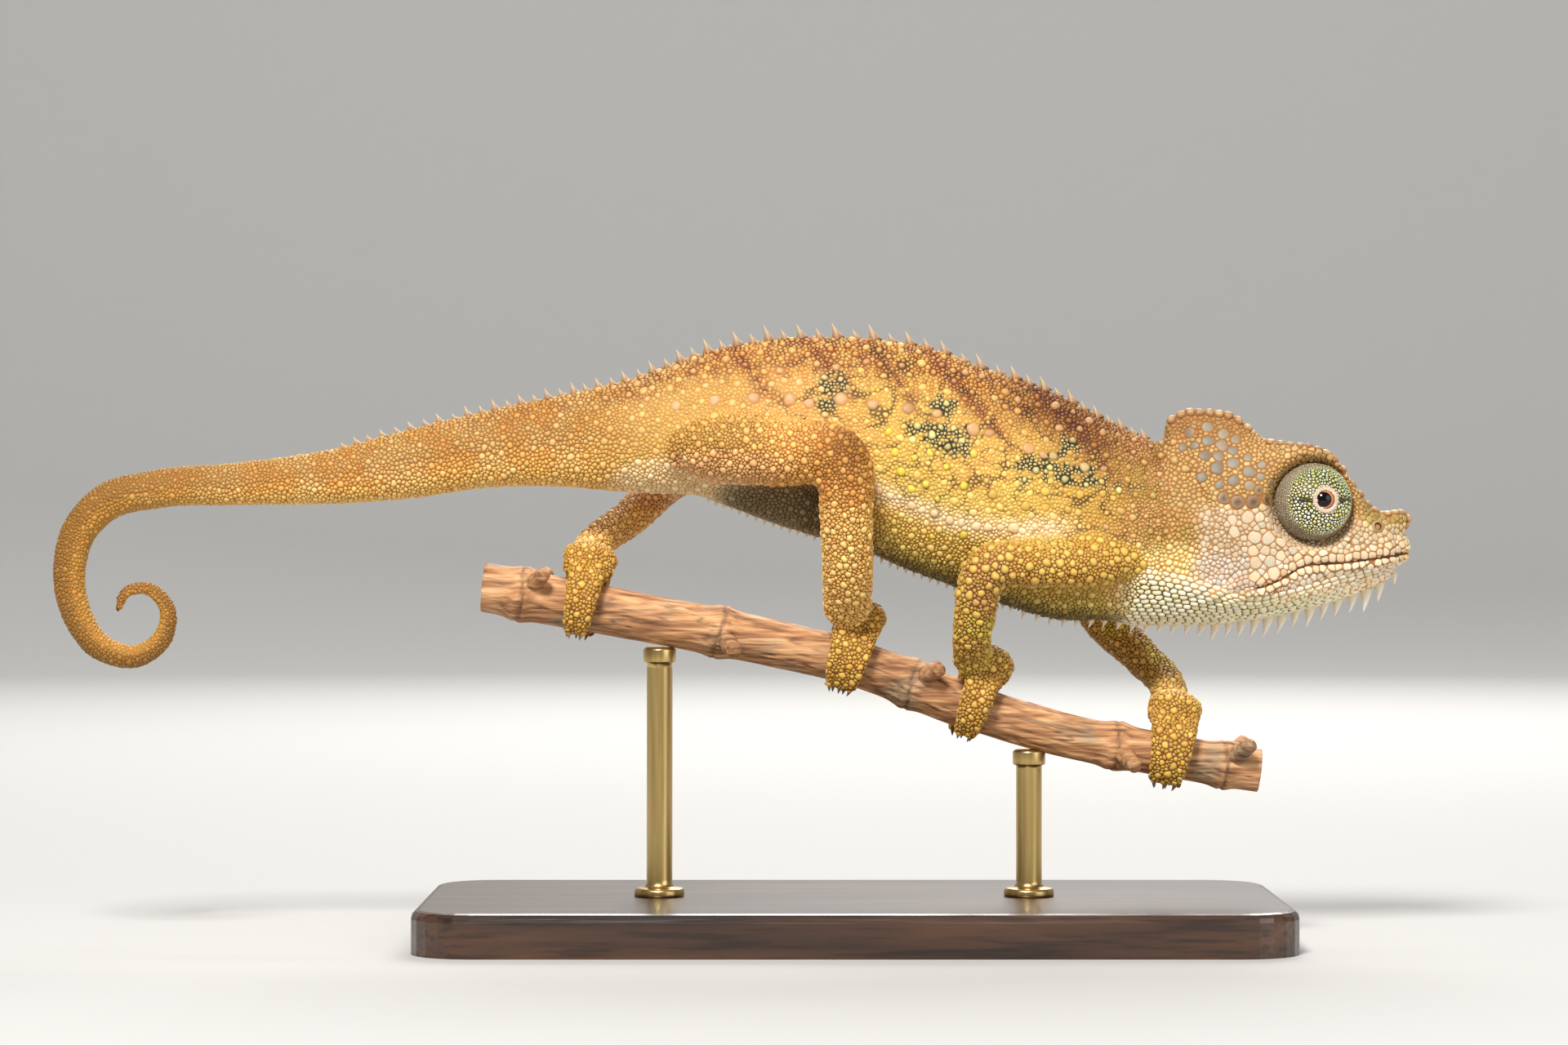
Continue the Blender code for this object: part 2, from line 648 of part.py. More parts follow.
def nostril(side, holder):
    """A hollow that narrows as it runs in and back."""
    bm = bmesh.new()
    place = Vector((NOSTRIL.x, NOSTRIL.y * side, NOSTRIL.z))
    inward = Vector((-0.35, -side, 0.1)).normalized()
    cone(bm, place - inward * NOSTRIL_DEPTH, inward, NOSTRIL_DEPTH * 2, NOSTRIL_RADIUS, sides=7)
    return to_object("nostril", bm, holder)


def build_head(holder):
    head = to_object("head", bridge_rings([head_ring(x) for x in HEAD_STATIONS]), holder, "skin_head")
    rng, spines, x = random.Random(11), collection("head_spines"), GULAR[0][0]
    while x > HEAD_STATIONS[0] + 1.2:
        height = curve_at(sorted(GULAR), x)[0] * rng.uniform(0.85, 1.15)
        z = curve_at(KEEL_LINE, x)[1]
        rise = curve_at(KEEL_LINE, x + 0.5)[1] - curve_at(KEEL_LINE, x - 0.5)[1]
        spine_object("chin_spine", spines, Vector((x, 0, z)), Vector((0.5 * rise, 0, -1)), height)
        x -= GULAR_STEP * rng.uniform(0.92, 1.08)
    head_plates(head, spines, rng)
    combine(head, spines, "UNION")
    hollows = collection("head_hollows")
    for side in (-1, 1):
        socket(side, hollows)
        nostril(side, hollows)
    combine(head, hollows, "DIFFERENCE")


def gaze(side):
    """The direction that an eye looks in."""
    return Vector((math.sin(GAZE_FORWARD), side * math.cos(GAZE_FORWARD), 0.05)).normalized()


def build_eye(side, name, holder):
    """The turret, a ball of fused lids with a small round opening, and the eyeball inside it."""
    centre = Vector((EYE_CENTRE.x, EYE_CENTRE.y * side, EYE_CENTRE.z))
    room = EYEBALL_RADIUS + GAP
    front = TURRET_RADIUS + CORNEA_STANDS_OUT - EYEBALL_RADIUS  # the eyeball's middle along the gaze
    lip = front + math.sqrt(room**2 - PUPIL_RING_RADIUS**2)
    # Each profile point is its distance along the gaze and its distance from it: from the back round to
    # the lid, and on into the hollow.
    outside = [math.radians(180 - 18 * i) for i in range(9)]
    inside = [math.radians(38 + 35.5 * i) for i in range(5)]
    profile = [(TURRET_RADIUS * math.cos(angle), TURRET_RADIUS * math.sin(angle)) for angle in outside]
    profile += [(TURRET_RADIUS * LID_SET_BACK, LID_RADIUS), (lip, PUPIL_RING_RADIUS + LID_THICKNESS)]
    profile += [(front + room * math.cos(angle), room * math.sin(angle)) for angle in inside]
    bm = bmesh.new()
    rows = []
    for along, out in profile:
        if out < 1e-4:
            rows.append([bm.verts.new((0, 0, along))] * TURRET_SIDES)
            continue
        turns = [2 * math.pi * i / TURRET_SIDES for i in range(TURRET_SIDES)]
        rows.append([bm.verts.new((out * math.cos(turn), out * math.sin(turn), along)) for turn in turns])
    for low, high in zip(rows, rows[1:]):
        for i in range(TURRET_SIDES):
            j = (i + 1) % TURRET_SIDES
            corners = list(dict.fromkeys((low[i], low[j], high[j], high[i])))
            bm.faces.new(corners)
    turn = Z_AXIS.rotation_difference(gaze(side)).to_matrix().to_4x4()
    bm.transform(Matrix.Translation(centre) @ turn)
    cut_inside(bm, side, TURRET_INNER_Y)
    to_object("eye_turret_" + name, bm, holder, "skin_turret")
    bm = bmesh.new()
    ball_segment(bm, centre + gaze(side) * front, EYEBALL_RADIUS, 12, 8)
    to_object("eyeball_" + name, bm, holder, "eye")


def tube_rings(rows, places, sides, cuts=()):
    """Rings round a path of (length, x, y, z, radius), turned as little as the path allows.

    The two rings either side of a cut face the same way, so that the gap between them is even.
    """
    rings, across = [], None
    for place in places:
        near = [cut for cut in cuts if abs(cut - place) < GAP]
        middle = near[0] if near else place
        ahead = Vector(curve_at(rows, middle + BEND_REACH, limited=False)[:3])
        behind = Vector(curve_at(rows, middle - BEND_REACH, limited=False)[:3])
        along = (ahead - behind).normalized()
        x, y, z, radius = curve_at(rows, middle, limited=False)
        x, y, z = Vector((x, y, z)) + along * (place - middle)
        across = across or along.orthogonal()
        across = (across - along * across.dot(along)).normalized()
        over = along.cross(across)
        rings.append(
            [
                Vector((x, y, z))
                + (across * math.cos(2 * math.pi * i / sides) + over * math.sin(2 * math.pi * i / sides))
                * radius
                for i in range(sides)
            ]
        )
    return rings


def twig_frame(x):
    """The twig's middle at x, its direction and its upward side."""
    places = sorted((px, pz) for px, pz in TWIG)
    z = curve_at(places, x)[0]
    rise = curve_at(places, x + 0.5)[0] - curve_at(places, x - 0.5)[0]
    along = Vector((1, 0, rise)).normalized()
    return Vector((x, 0, z)), along, along.cross(Y_AXIS).normalized()


def build_toe(holder, middle, along, out, up, shift, radius):
    """One toe from the palm round the twig, and its claw."""
    start, end = TOE_TURN
    points = []
    for i in range(7):
        share = i / 6
        angle = start + (end - start) * share
        thick = radius * (1 + (TOE_TIP_SHARE - 1) * share**2)
        closing = 1 - 0.35 * share
        away = TWIG_RADIUS + GAP + 0.1 + thick
        point = middle + along * shift * closing + (out * math.cos(angle) + up * math.sin(angle)) * away
        points.append((*point, thick))
    rows = measured(points)
    last = rows[-1][0]
    rings = tube_rings(rows, spread(0, last, last / 6), 7)
    to_object("toe", bridge_rings(rings), holder)
    tip = Vector(points[-1][:3])
    heading = (tip - Vector(points[-2][:3])).normalized()
    bm = bmesh.new()
    cone(bm, tip - heading * 0.5, heading, CLAW_LENGTH + 0.5, CLAW_RADIUS, sides=5)
    to_object("claw", bm, holder)


def build_foot(node, leg, holder):
    """Joins the palm, two opposed bundles of toes and their claws to the ankle's length of the leg."""
    middle, along, up = twig_frame(leg["grip_x"])
    outward = Y_AXIS * leg["side"]
    pieces = collection(node.name + "_pieces")
    bm = bmesh.new()
    ball_segment(bm, Vector(), 1.0, 12, 8)
    palm = middle + up * (TWIG_RADIUS + GAP + 0.1 + PALM_HALF_HEIGHT) + outward * 0.6
    frame = Matrix((along, outward, up)).transposed().to_4x4()
    bm.transform(Matrix.Translation(palm) @ frame @ Matrix.Diagonal((3.3, 3.0, PALM_HALF_HEIGHT, 1)))
    to_object("palm", bm, pieces)
    for out, count in ((outward, leg["outer_toes"]), (-outward, 5 - leg["outer_toes"])):
        radius = TOE_RADIUS[count]
        for i in range(count):
            shift = (i - (count - 1) / 2) * radius * 1.62
            build_toe(pieces, middle, along, out, up, shift, radius)
    combine(node, pieces, "UNION")


def build_leg(name, leg, holder):
    """The two lengths of a leg and its foot; the root is cut back to the trunk's surface."""
    rows = measured([(*point, radius) for point, radius in zip(leg["points"], leg["radii"])])
    knee, ankle, sole = rows[KNEE_POINT][0], rows[ANKLE_POINT][0], rows[-1][0]
    spans = [(0, knee - GAP / 2), (knee + GAP / 2, ankle - GAP / 2), (ankle + GAP / 2, sole)]
    lists = [spread(first, last, 3.1) for first, last in spans]
    rings = tube_rings(rows, [place for places in lists for place in places], LEG_SIDES, (knee, ankle))
    kind, side = name.split("_")
    for places, part in zip(lists, LEG_NODES[kind]):
        own, rings = rings[: len(places)], rings[len(places) :]
        node = to_object(f"{part}_{side}", bridge_rings(own), holder, "skin_leg")
        if part in ("upper_arm", "thigh"):
            cutters = collection(node.name + "_cutters")
            lengths = spread(0.5, trunk_length_at(-34), 3.2)
            body = [trunk_ring(length, TRUNK_SIDES, GAP + 0.05) for length in lengths]
            to_object("trunk_cutter", bridge_rings(body), cutters)
            combine(node, cutters, "DIFFERENCE")
        elif part in ("hand", "foot"):
            build_foot(node, leg, holder)


def twig_radius(x):
    """Thinner towards the head end, and swollen where leaves grew."""
    taper = 1 - TWIG_TAPER * (x - TWIG[0][0])
    swell = sum(KNOT_SWELL * math.exp(-(((x - knot) / KNOT_LENGTH) ** 2)) for knot in TWIG_KNOTS)
    return TWIG_RADIUS * taper + swell


def twig_object(name, holder, inflate=0.0, finish=None):
    """The stem without its stubs, wider all round by inflate."""
    rings = []
    knots = [knot + side * KNOT_LENGTH for knot in TWIG_KNOTS for side in (-1, 0, 1)]
    for x in sorted(spread(TWIG[0][0], TWIG[-1][0], 6.0) + knots):
        middle, _, up = twig_frame(x)
        radius = twig_radius(x) + inflate
        turns = [2 * math.pi * i / TWIG_SIDES for i in range(TWIG_SIDES)]
        rings.append([middle + (Y_AXIS * math.sin(turn) + up * math.cos(turn)) * radius for turn in turns])
    return to_object(name, bridge_rings(rings), holder, finish)


def build_twig(holder):
    """The cut length of stem, with the stubs of a pair of leaf stalks at each knot."""
    twig = twig_object("perch_twig", holder, finish="bark")
    stubs = collection("twig_stubs")
    for i, x in enumerate(TWIG_KNOTS):
        middle, along, up = twig_frame(x)
        for side in (-1, 1):
            tilt = math.radians(-20 if i % 2 else 35)
            out = Y_AXIS * side * math.cos(tilt) + up * math.sin(tilt)
            heading = (out + along * 0.45).normalized()
            bm = bmesh.new()
            bmesh.ops.create_cone(
                bm,
                cap_ends=True,
                segments=6,
                radius1=STUB_RADIUS * 1.2,
                radius2=STUB_RADIUS * 0.8,
                depth=STUB_LENGTH + 1.5,
                matrix=Matrix.Translation(middle + heading * (TWIG_RADIUS + STUB_LENGTH / 2 - 0.3))
                @ Z_AXIS.rotation_difference(heading).to_matrix().to_4x4(),
            )
            to_object("stub", bm, stubs)
    combine(twig, stubs, "UNION")


def rim_edges(bm):
    """The edges round the top of a box."""
    return [
        edge
        for edge in bm.edges
        if all(vert.co.z > BASE_SIZE.z - 0.01 for vert in edge.verts)
        and any(abs(face.normal.z) < 0.5 for face in edge.link_faces)
    ]


def build_stand(holder):
    """A flat base with rounded corners, and two rods that end just under the twig."""
    bm = bmesh.new()
    place = Matrix.Translation((0, 0, BASE_SIZE.z / 2)) @ Matrix.Diagonal((*BASE_SIZE, 1))
    bmesh.ops.create_cube(bm, size=1, matrix=place)
    upright = [edge for edge in bm.edges if abs(edge.verts[0].co.z - edge.verts[1].co.z) > 1]
    bmesh.ops.bevel(bm, geom=upright, offset=BASE_CORNER, segments=6, affect="EDGES", profile=0.5)
    bmesh.ops.bevel(bm, geom=rim_edges(bm), offset=BASE_BEVEL, segments=3, affect="EDGES", profile=0.5)
    to_object("stand_base", bm, holder, "stand_wood")
    for name, x in ROD_X.items():
        middle, _, _ = twig_frame(x)
        foot, top = BASE_SIZE.z + GAP, middle.z
        bm = bmesh.new()
        bmesh.ops.create_cone(
            bm,
            cap_ends=True,
            segments=16,
            radius1=ROD_RADIUS,
            radius2=ROD_RADIUS,
            depth=top - foot,
            matrix=Matrix.Translation((x, 0, (top + foot) / 2)),
        )
        rod = to_object(name, bm, holder, "stand_metal")
        cutters = collection(name + "_cutters")
        twig_object("twig_cutter", cutters, GAP)
        combine(rod, cutters, "DIFFERENCE")


def main():
    clear_scene()
    holder = collection("von_hoehnels_chameleon")
    build_trunk(holder)
    build_head(holder)
    for side, name in ((-1, "right"), (1, "left")):
        build_eye(side, name, holder)
    for name, leg in LEGS.items():
        build_leg(name, leg, holder)
    build_twig(holder)
    build_stand(holder)


main()
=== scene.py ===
"""The looks of the chameleon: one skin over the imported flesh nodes, with every scale as its own low dome.

Sizes are in millimetres, as in the construction, and become metres where a mesh is made. The head is
towards +X and the animal's right side towards -Y. Names in capitals are the driving values.
"""

import itertools
import math
import random

import bmesh
import bpy
import numpy as np
from mathutils import Matrix, Vector, noise
from mathutils.bvhtree import BVHTree
from mathutils.kdtree import KDTree


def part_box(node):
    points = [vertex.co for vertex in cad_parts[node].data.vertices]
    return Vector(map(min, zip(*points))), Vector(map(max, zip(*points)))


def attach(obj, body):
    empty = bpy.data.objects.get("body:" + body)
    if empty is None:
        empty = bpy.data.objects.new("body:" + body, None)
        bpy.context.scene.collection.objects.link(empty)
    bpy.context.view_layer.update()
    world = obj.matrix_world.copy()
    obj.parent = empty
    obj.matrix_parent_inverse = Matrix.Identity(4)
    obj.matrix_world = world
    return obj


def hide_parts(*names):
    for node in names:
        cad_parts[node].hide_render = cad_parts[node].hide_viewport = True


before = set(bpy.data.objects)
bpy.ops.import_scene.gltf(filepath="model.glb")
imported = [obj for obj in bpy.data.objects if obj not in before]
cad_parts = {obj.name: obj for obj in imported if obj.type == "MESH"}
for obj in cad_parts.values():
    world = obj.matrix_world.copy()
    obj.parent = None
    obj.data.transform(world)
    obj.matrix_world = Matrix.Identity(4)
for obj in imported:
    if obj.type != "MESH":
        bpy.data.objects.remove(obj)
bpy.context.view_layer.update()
MM = 0.001

# The trunk from the neck to the tail's tip: x and z of its middle, half height, half width.
TRUNK = [
    (35.8, 47.1, 10.6, 5.9), (33.8, 47.5, 11.1, 6.0), (29.0, 48.9, 11.9, 6.3), (24.3, 50.2, 13.1, 6.9),
    (19.6, 51.7, 13.5, 7.4), (14.8, 53.3, 13.4, 7.7), (10.1, 55.1, 13.5, 7.8), (5.3, 56.5, 13.1, 7.7),
    (0.6, 57.8, 12.3, 7.4), (-4.2, 58.5, 11.7, 6.9), (-8.9, 59.1, 10.9, 6.3), (-13.7, 59.6, 9.6, 5.7),
    (-18.4, 59.8, 8.2, 5.2), (-23.2, 59.0, 7.2, 4.7), (-27.0, 58.5, 6.5, 4.3), (-32.7, 58.1, 5.6, 3.9),
    (-42.2, 57.1, 4.6, 3.5), (-51.7, 55.3, 4.1, 3.1), (-59.3, 54.0, 3.4, 2.8), (-71.6, 53.0, 2.6, 2.35),
    (-81.0, 52.4, 2.35, 2.15), (-86.8, 50.9, 2.3, 2.1), (-90.0, 47.6, 2.15, 2.0), (-91.2, 43.0, 2.0, 1.9),
    (-90.4, 38.0, 1.85, 1.75), (-87.6, 34.0, 1.65, 1.6), (-83.4, 32.9, 1.45, 1.4), (-80.2, 35.2, 1.25, 1.2),
    (-79.8, 38.6, 1.05, 1.0), (-82.2, 40.9, 0.9, 0.9), (-84.8, 40.2, 0.75, 0.75), (-85.5, 38.2, 0.5, 0.5),
]
UPRIGHT_TO, SQUARE_FROM, CURL_POINT = -42.0, -62.0, 20
WIDEST, KEEL = -0.1, 1.75

HEAD_FRONT, HEAD_BACK = 64.9, 36.1
# The lines along the head's left side, from its top down to its keel: x, half width, z.
TOP_LINE = [
    (36.1, 0, 58.8), (36.6, 0, 60.1), (37.5, 0, 61.0), (39.0, 0, 61.6), (42.9, 0, 61.5), (44.6, 0, 60.8),
    (47.6, 0, 58.3), (49.0, 0, 57.4), (52.6, 0, 56.9), (55.0, 0, 56.3), (56.3, 0, 55.4), (58.4, 0, 52.4),
    (60.0, 0, 50.6), (62.1, 0, 50.0), (63.7, 0, 50.1), (64.5, 0, 49.5), (64.9, 0, 49.0),
]
CREST_LINE = [
    (36.1, 0.9, 58.5), (36.6, 0.9, 59.9), (37.5, 1.0, 60.7), (39.0, 1.1, 61.3), (42.9, 1.1, 61.1),
    (44.6, 1.2, 60.5), (47.6, 2.3, 58.3), (49.5, 3.6, 57.8), (52.5, 4.1, 57.5), (55.0, 3.9, 56.6),
    (56.3, 3.4, 55.5), (58.4, 2.6, 52.5), (60.5, 2.0, 50.5), (62.5, 1.6, 49.9), (63.7, 1.3, 49.9),
    (64.5, 0.9, 49.3), (64.9, 0.5, 48.9),
]
TEMPLE_LINE = [
    (36.1, 2.5, 56.0), (39.0, 2.7, 57.6), (42.0, 3.0, 57.4), (45.0, 3.8, 56.5), (48.0, 4.7, 55.8),
    (50.5, 5.1, 56.2), (53.5, 5.2, 55.9), (56.0, 4.4, 54.3), (58.0, 3.6, 51.9), (60.0, 2.8, 50.1),
    (62.0, 2.3, 49.4), (63.8, 1.8, 49.2), (64.5, 1.3, 48.8), (64.9, 0.8, 48.5),
]
EYE_LINE = [
    (36.1, 4.7, 52.5), (39.0, 4.7, 53.3), (45.0, 5.5, 52.6), (48.0, 5.7, 52.2), (53.5, 5.3, 51.5),
    (58.0, 4.2, 50.0), (60.0, 3.5, 48.9), (62.0, 2.9, 48.3), (63.8, 2.3, 47.9), (64.5, 1.7, 47.8),
    (64.9, 1.0, 47.7),
]
CHEEK_LINE = [
    (36.1, 5.9, 48.5), (42.0, 6.2, 48.0), (46.0, 6.3, 47.6), (50.0, 6.0, 47.2), (54.0, 5.4, 46.8),
    (58.0, 4.6, 46.5), (61.0, 3.8, 46.4), (63.0, 3.1, 46.4), (63.8, 2.8, 46.4), (64.5, 2.0, 46.4),
    (64.9, 1.2, 46.4),
]
MOUTH_LINE = [
    (36.1, 5.8, 42.4), (42.0, 6.0, 41.2), (46.1, 5.9, 40.9), (48.0, 5.8, 41.4), (49.9, 5.6, 42.3),
    (51.5, 5.4, 43.3), (52.6, 5.3, 43.6), (56.1, 4.8, 43.8), (59.5, 4.2, 44.2), (61.0, 3.8, 44.4),
    (63.0, 3.1, 44.7), (63.8, 2.7, 44.8), (64.5, 2.0, 44.9), (64.9, 1.2, 44.9),
]
JAW_LINE = [
    (36.1, 5.2, 40.2), (42.0, 5.3, 39.3), (46.0, 5.1, 39.1), (50.0, 4.6, 39.8), (54.0, 3.9, 40.6),
    (58.0, 3.0, 41.7), (61.0, 2.3, 42.6), (63.0, 1.7, 43.4), (64.5, 1.1, 44.1), (64.9, 0.8, 44.3),
]
THROAT_LINE = [
    (36.1, 3.4, 37.6), (42.0, 3.0, 37.3), (46.0, 2.7, 37.5), (50.0, 2.3, 38.2), (54.0, 1.9, 39.2),
    (58.0, 1.5, 40.4), (61.0, 1.1, 41.6), (63.0, 0.8, 42.8), (64.5, 0.5, 43.8), (64.9, 0.4, 44.1),
]
KEEL_LINE = [
    (36.1, 0, 36.5), (41.1, 0, 36.5), (45.7, 0, 37.0), (50.3, 0, 37.7), (53.8, 0, 38.6), (58.4, 0, 39.9),
    (61.8, 0, 41.4), (63.6, 0, 42.7), (64.5, 0, 43.6), (64.9, 0, 44.0),
]
MOUTH_CORNER_X, MOUTH_FADE = 46.1, 1.2
HALF_MOUTH = 0.085  # how far the scales stay off the mouth's line
# The top of the long-scaled rows on the throat's side: x, z.
THROAT_TOP = [
    (31.0, 43.4), (36.0, 42.9), (42.0, 41.2), (46.0, 39.5), (50.0, 40.2), (56.0, 41.7), (62.0, 42.4),
]
THROAT_ROWS = 15
LIP_HEIGHT, MOUTH_DEPTH, UPPER_LIP_OVERHANG = 0.5, 0.6, 0.12

EYE_CENTRE = (53.4, 3.1, 50.9)  # on the left side; the right one is its mirror image
TURRET_RADIUS, TURRET_SETBACK = 4.65, 0.25
GAZE_FORWARD = math.radians(13)
EYEBALL_RADIUS, PUPIL_RING_RADIUS, CORNEA_STANDS_OUT = 1.5, 1.03, 0.15
LID_SCALES = 34
NOSTRIL, NOSTRIL_PLATE, NOSTRIL_SIDES = (60.6, 3.3, 48.0), 0.72, 28
SNOUT_TIP = [(63.0, 50.2, 0.5), (64.0, 49.9, 0.52), (64.8, 49.0, 0.5), (64.9, 48.0, 0.44)]

# The twig's middle: x, z.
TWIG = [
    (-43.0, 41.0), (-31.6, 38.8), (-17.5, 36.1), (-0.7, 32.4),
    (13.9, 27.0), (25.2, 23.6), (36.6, 21.4), (47.5, 19.6),
]
TWIG_RADIUS, TWIG_TAPER = 3.0, 0.0016
TWIG_KNOTS = [-38.5, -15.5, 6.8, 30.6, 43.2]
KNOT_SWELL, KNOT_LENGTH = 0.45, 1.3
# A stub's radius at places along it.
STUB = [(0, 1.3), (1.2, 1.15), (2.4, 0.95), (3.3, 0.86), (3.7, 0.8)]
TWIG_SIDES, STUB_SIDES, STUB_RINGS = 88, 24, 12
# A rod's flange, as heights over the base and radii, and its collar, as depths under its top and radii.
FLANGE = [(0, 2.9), (0.7, 2.9), (0.95, 2.7), (1.1, 1.75), (1.5, 1.5)]
COLLAR = [(2.2, 1.5), (2.0, 1.9), (0.6, 1.9), (0.3, 1.6)]
GAP = 0.3  # between the nodes of the construction

# Each leg from its root to the sole, with its radii, the twig's x at its grip and its outer toes.
LEGS = {
    "fore_right": (
        -1,
        [(32.8, -3.6, 43.9), (28.6, -6.0, 43.8), (22.2, -8.0, 43.5), (15.1, -9.5, 43.0),
         (13.9, -8.0, 38.4), (13.6, -5.4, 34.6), (13.8, -2.4, 32.2)],
        [1.9, 2.65, 2.5, 2.75, 2.5, 2.3, 2.3], 13.9, 2,
    ),
    "fore_left": (
        1,
        [(31.4, 3.2, 44.2), (30.6, 6.6, 43.0), (29.8, 10.6, 41.0), (29.6, 14.4, 38.0),
         (34.0, 11.2, 33.0), (37.2, 6.4, 29.2), (37.0, 2.4, 26.6)],
        [2.4, 2.7, 2.5, 2.6, 2.35, 2.2, 2.3], 36.6, 2,
    ),
    "hind_right": (
        -1,
        [(-20.6, -3.4, 57.4), (-15.6, -5.6, 56.9), (-9.0, -7.8, 56.5), (-1.6, -10.8, 55.6),
         (-0.9, -9.7, 48.8), (-0.7, -6.8, 42.4), (-0.7, -2.6, 38.0)],
        [2.2, 3.7, 3.9, 3.5, 3.1, 3.0, 2.8], -0.7, 3,
    ),
    "hind_left": (
        1,
        [(-16.8, 2.6, 57.0), (-18.2, 6.6, 56.2), (-20.6, 11.0, 54.8), (-22.9, 14.8, 52.6),
         (-26.4, 11.2, 49.0), (-29.6, 6.4, 46.6), (-31.4, 2.6, 44.0)],
        [3.0, 3.7, 3.1, 2.6, 2.3, 2.2, 2.4], -31.6, 3,
    ),
}
BEND_REACH = 2.0  # over which a path's direction is taken
# Height and x of the line on the head behind which the scales are as fine as on the neck.
FINE_EDGE = [
    (36.0, 50.0), (40.0, 47.5), (41.5, 46.5), (44.6, 45.0), (47.0, 42.4), (50.3, 41.6), (53.5, 39.7),
    (62.0, 38.7),
]
# How far the snout's end stands out (+) or falls back (-) at each height.
SNOUT_PROFILE = [
    (41.5, -1.6), (43.0, -0.9), (44.2, -0.25), (45.0, -0.05), (46.2, -0.1), (47.2, -0.6), (48.2, -0.2),
    (49.2, 0.15), (50.4, -0.3),
]
TOE_RADIUS = {2: 1.35, 3: 1.2}
TOE_TIP_SHARE = 0.62
TOE_TURN = (math.radians(112), math.radians(-42))
CLAW_LENGTH, CLAW_RADIUS = 1.9, 0.42
PALM_HALF_HEIGHT = 2.2

# The dorsal spines: x, height, step to the next one.
CREST = [
    (34.0, 1.0, 2.6), (22.0, 1.5, 3.6), (5.0, 1.6, 4.3), (-12.0, 1.5, 3.6),
    (-24.0, 1.1, 3.0), (-45.0, 0.85, 3.1), (-60.0, 0.6, 3.2),
]
CREST_SMALL, CREST_LEAN = 0.6, 0.25
# The throat's spines: x, height.
GULAR = [
    (62.9, 0.8), (61.6, 1.6), (59.3, 2.1), (53.0, 1.9),
    (45.0, 1.9), (38.0, 1.0), (32.0, 0.8), (19.0, 0.7),
]
GULAR_STEP = 1.6
BELLY_SPINES_END, BELLY_STEP = -17.0, 0.95
HORN_SIDES, HORN_RINGS = 10, 6

# Depths and heights of what is pressed into the skin or stands out from it.
LIP_ROLL, MOUTH_GROOVE, EDGE_ROLL, EDGE_GROOVE, BRIDGE_DIP = 0.12, 0.3, 0.2, 0.28, 0.35
NECK_FOLD, FLANK_FOLD, LEG_FOLD, KNEE_FOLD = 0.16, 0.12, 0.06, 0.13
UNDER_SCALES = 0.17  # how far the skin lies under the scales' middles

VOXEL = 0.34  # of the remesh that fuses the shapes
COARSER, COARSER_LARGE = ((1, 1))
SMALLEST_SCALE = 0.2
TRIES = 1.9  # random places looked at for each square of the smallest radius
# How far apart scales stay, against the sum of their radii: pinned ones, and small and large free ones.
PINNED_KEEP_OFF, KEEP_OFF = 0.72, (0.86, 0.95)
CELL = 1.1  # of the grid in which neighbouring scales are looked for
CELLS_AROUND = [list(itertools.product(range(-n, n + 1), repeat=3)) for n in (1, 2)]
NEIGHBOURS = 14  # that limit how far a scale reaches
TRUNK_PART, HEAD_PART, FORE_PART, HIND_PART, FOOT_PART = range(5)
GROOVE = 0.014  # between neighbouring scales, each side


def curve(keys, places, limited=True):
    """Smooth curves through keys, each (place, value, value...), at an array of places."""
    keys = np.array(keys, float)
    x, y = keys[:, 0], keys[:, 1:]
    widths = np.diff(x)[:, None]
    steps = np.diff(y, axis=0) / widths
    slopes = np.empty_like(y)
    slopes[0], slopes[-1] = steps[0], steps[-1]
    before, after = steps[:-1], steps[1:]
    if limited:
        total = np.where(np.abs(before + after) < 1e-12, 1, before + after)
        slopes[1:-1] = np.where(before * after > 0, 2 * before * after / total, 0)
    else:
        slopes[1:-1] = (before * widths[1:] + after * widths[:-1]) / (widths[1:] + widths[:-1])
    at = np.clip(np.atleast_1d(places), x[0], x[-1])
    i = np.clip(np.searchsorted(x, at, side="right") - 1, 0, len(x) - 2)
    width = (x[i + 1] - x[i])[:, None]
    t = (at - x[i])[:, None] / width
    return (
        y[i] * (1 + 2 * t) * (1 - t) ** 2
        + y[i + 1] * (3 - 2 * t) * t * t
        + slopes[i] * width * t * (1 - t) ** 2
        - slopes[i + 1] * width * (1 - t) * t * t
    )


def unit(vectors):
    return vectors / np.maximum(np.linalg.norm(vectors, axis=-1, keepdims=True), 1e-12)


def measured(points):
    """Rows (x, y, z, size...) with the length along them put first."""
    points = np.array(points, float)
    lengths = np.concatenate([[0], np.cumsum(np.linalg.norm(np.diff(points[:, :3], axis=0), axis=1))])
    return np.column_stack([lengths, points])


def smoothstep(low, high, values):
    t = np.clip((values - low) / (high - low), 0, 1)
    return t * t * (3 - 2 * t)


def bell(*distances):
    """1 at the middle and softly down to 0: distances are in widths of the bell."""
    return np.exp(-sum(distance**2 for distance in distances))


TRUNK_PATH = measured([(x, 0.0, z, up, side) for x, z, up, side in TRUNK])


def trunk_frame(lengths):
    """Middle, dorsal direction, half height and half width of the trunk at lengths along it."""
    rows = curve(TRUNK_PATH, lengths, limited=False)
    ahead = curve(TRUNK_PATH, np.atleast_1d(lengths) + 0.2, limited=False)[:, :3]
    behind = curve(TRUNK_PATH, np.atleast_1d(lengths) - 0.2, limited=False)[:, :3]
    along = unit(ahead - behind)
    share = np.clip((UPRIGHT_TO - rows[:, 0]) / (UPRIGHT_TO - SQUARE_FROM), 0, 1)
    share = np.where(np.atleast_1d(lengths) > TRUNK_PATH[CURL_POINT, 0], 1, share)[:, None]
    along = unit(np.array([-1.0, 0, 0]) * (1 - share) + along * share)
    dorsal = unit(np.cross([0.0, 1, 0], along))
    return rows[:, :3], dorsal, rows[:, 3], rows[:, 4]


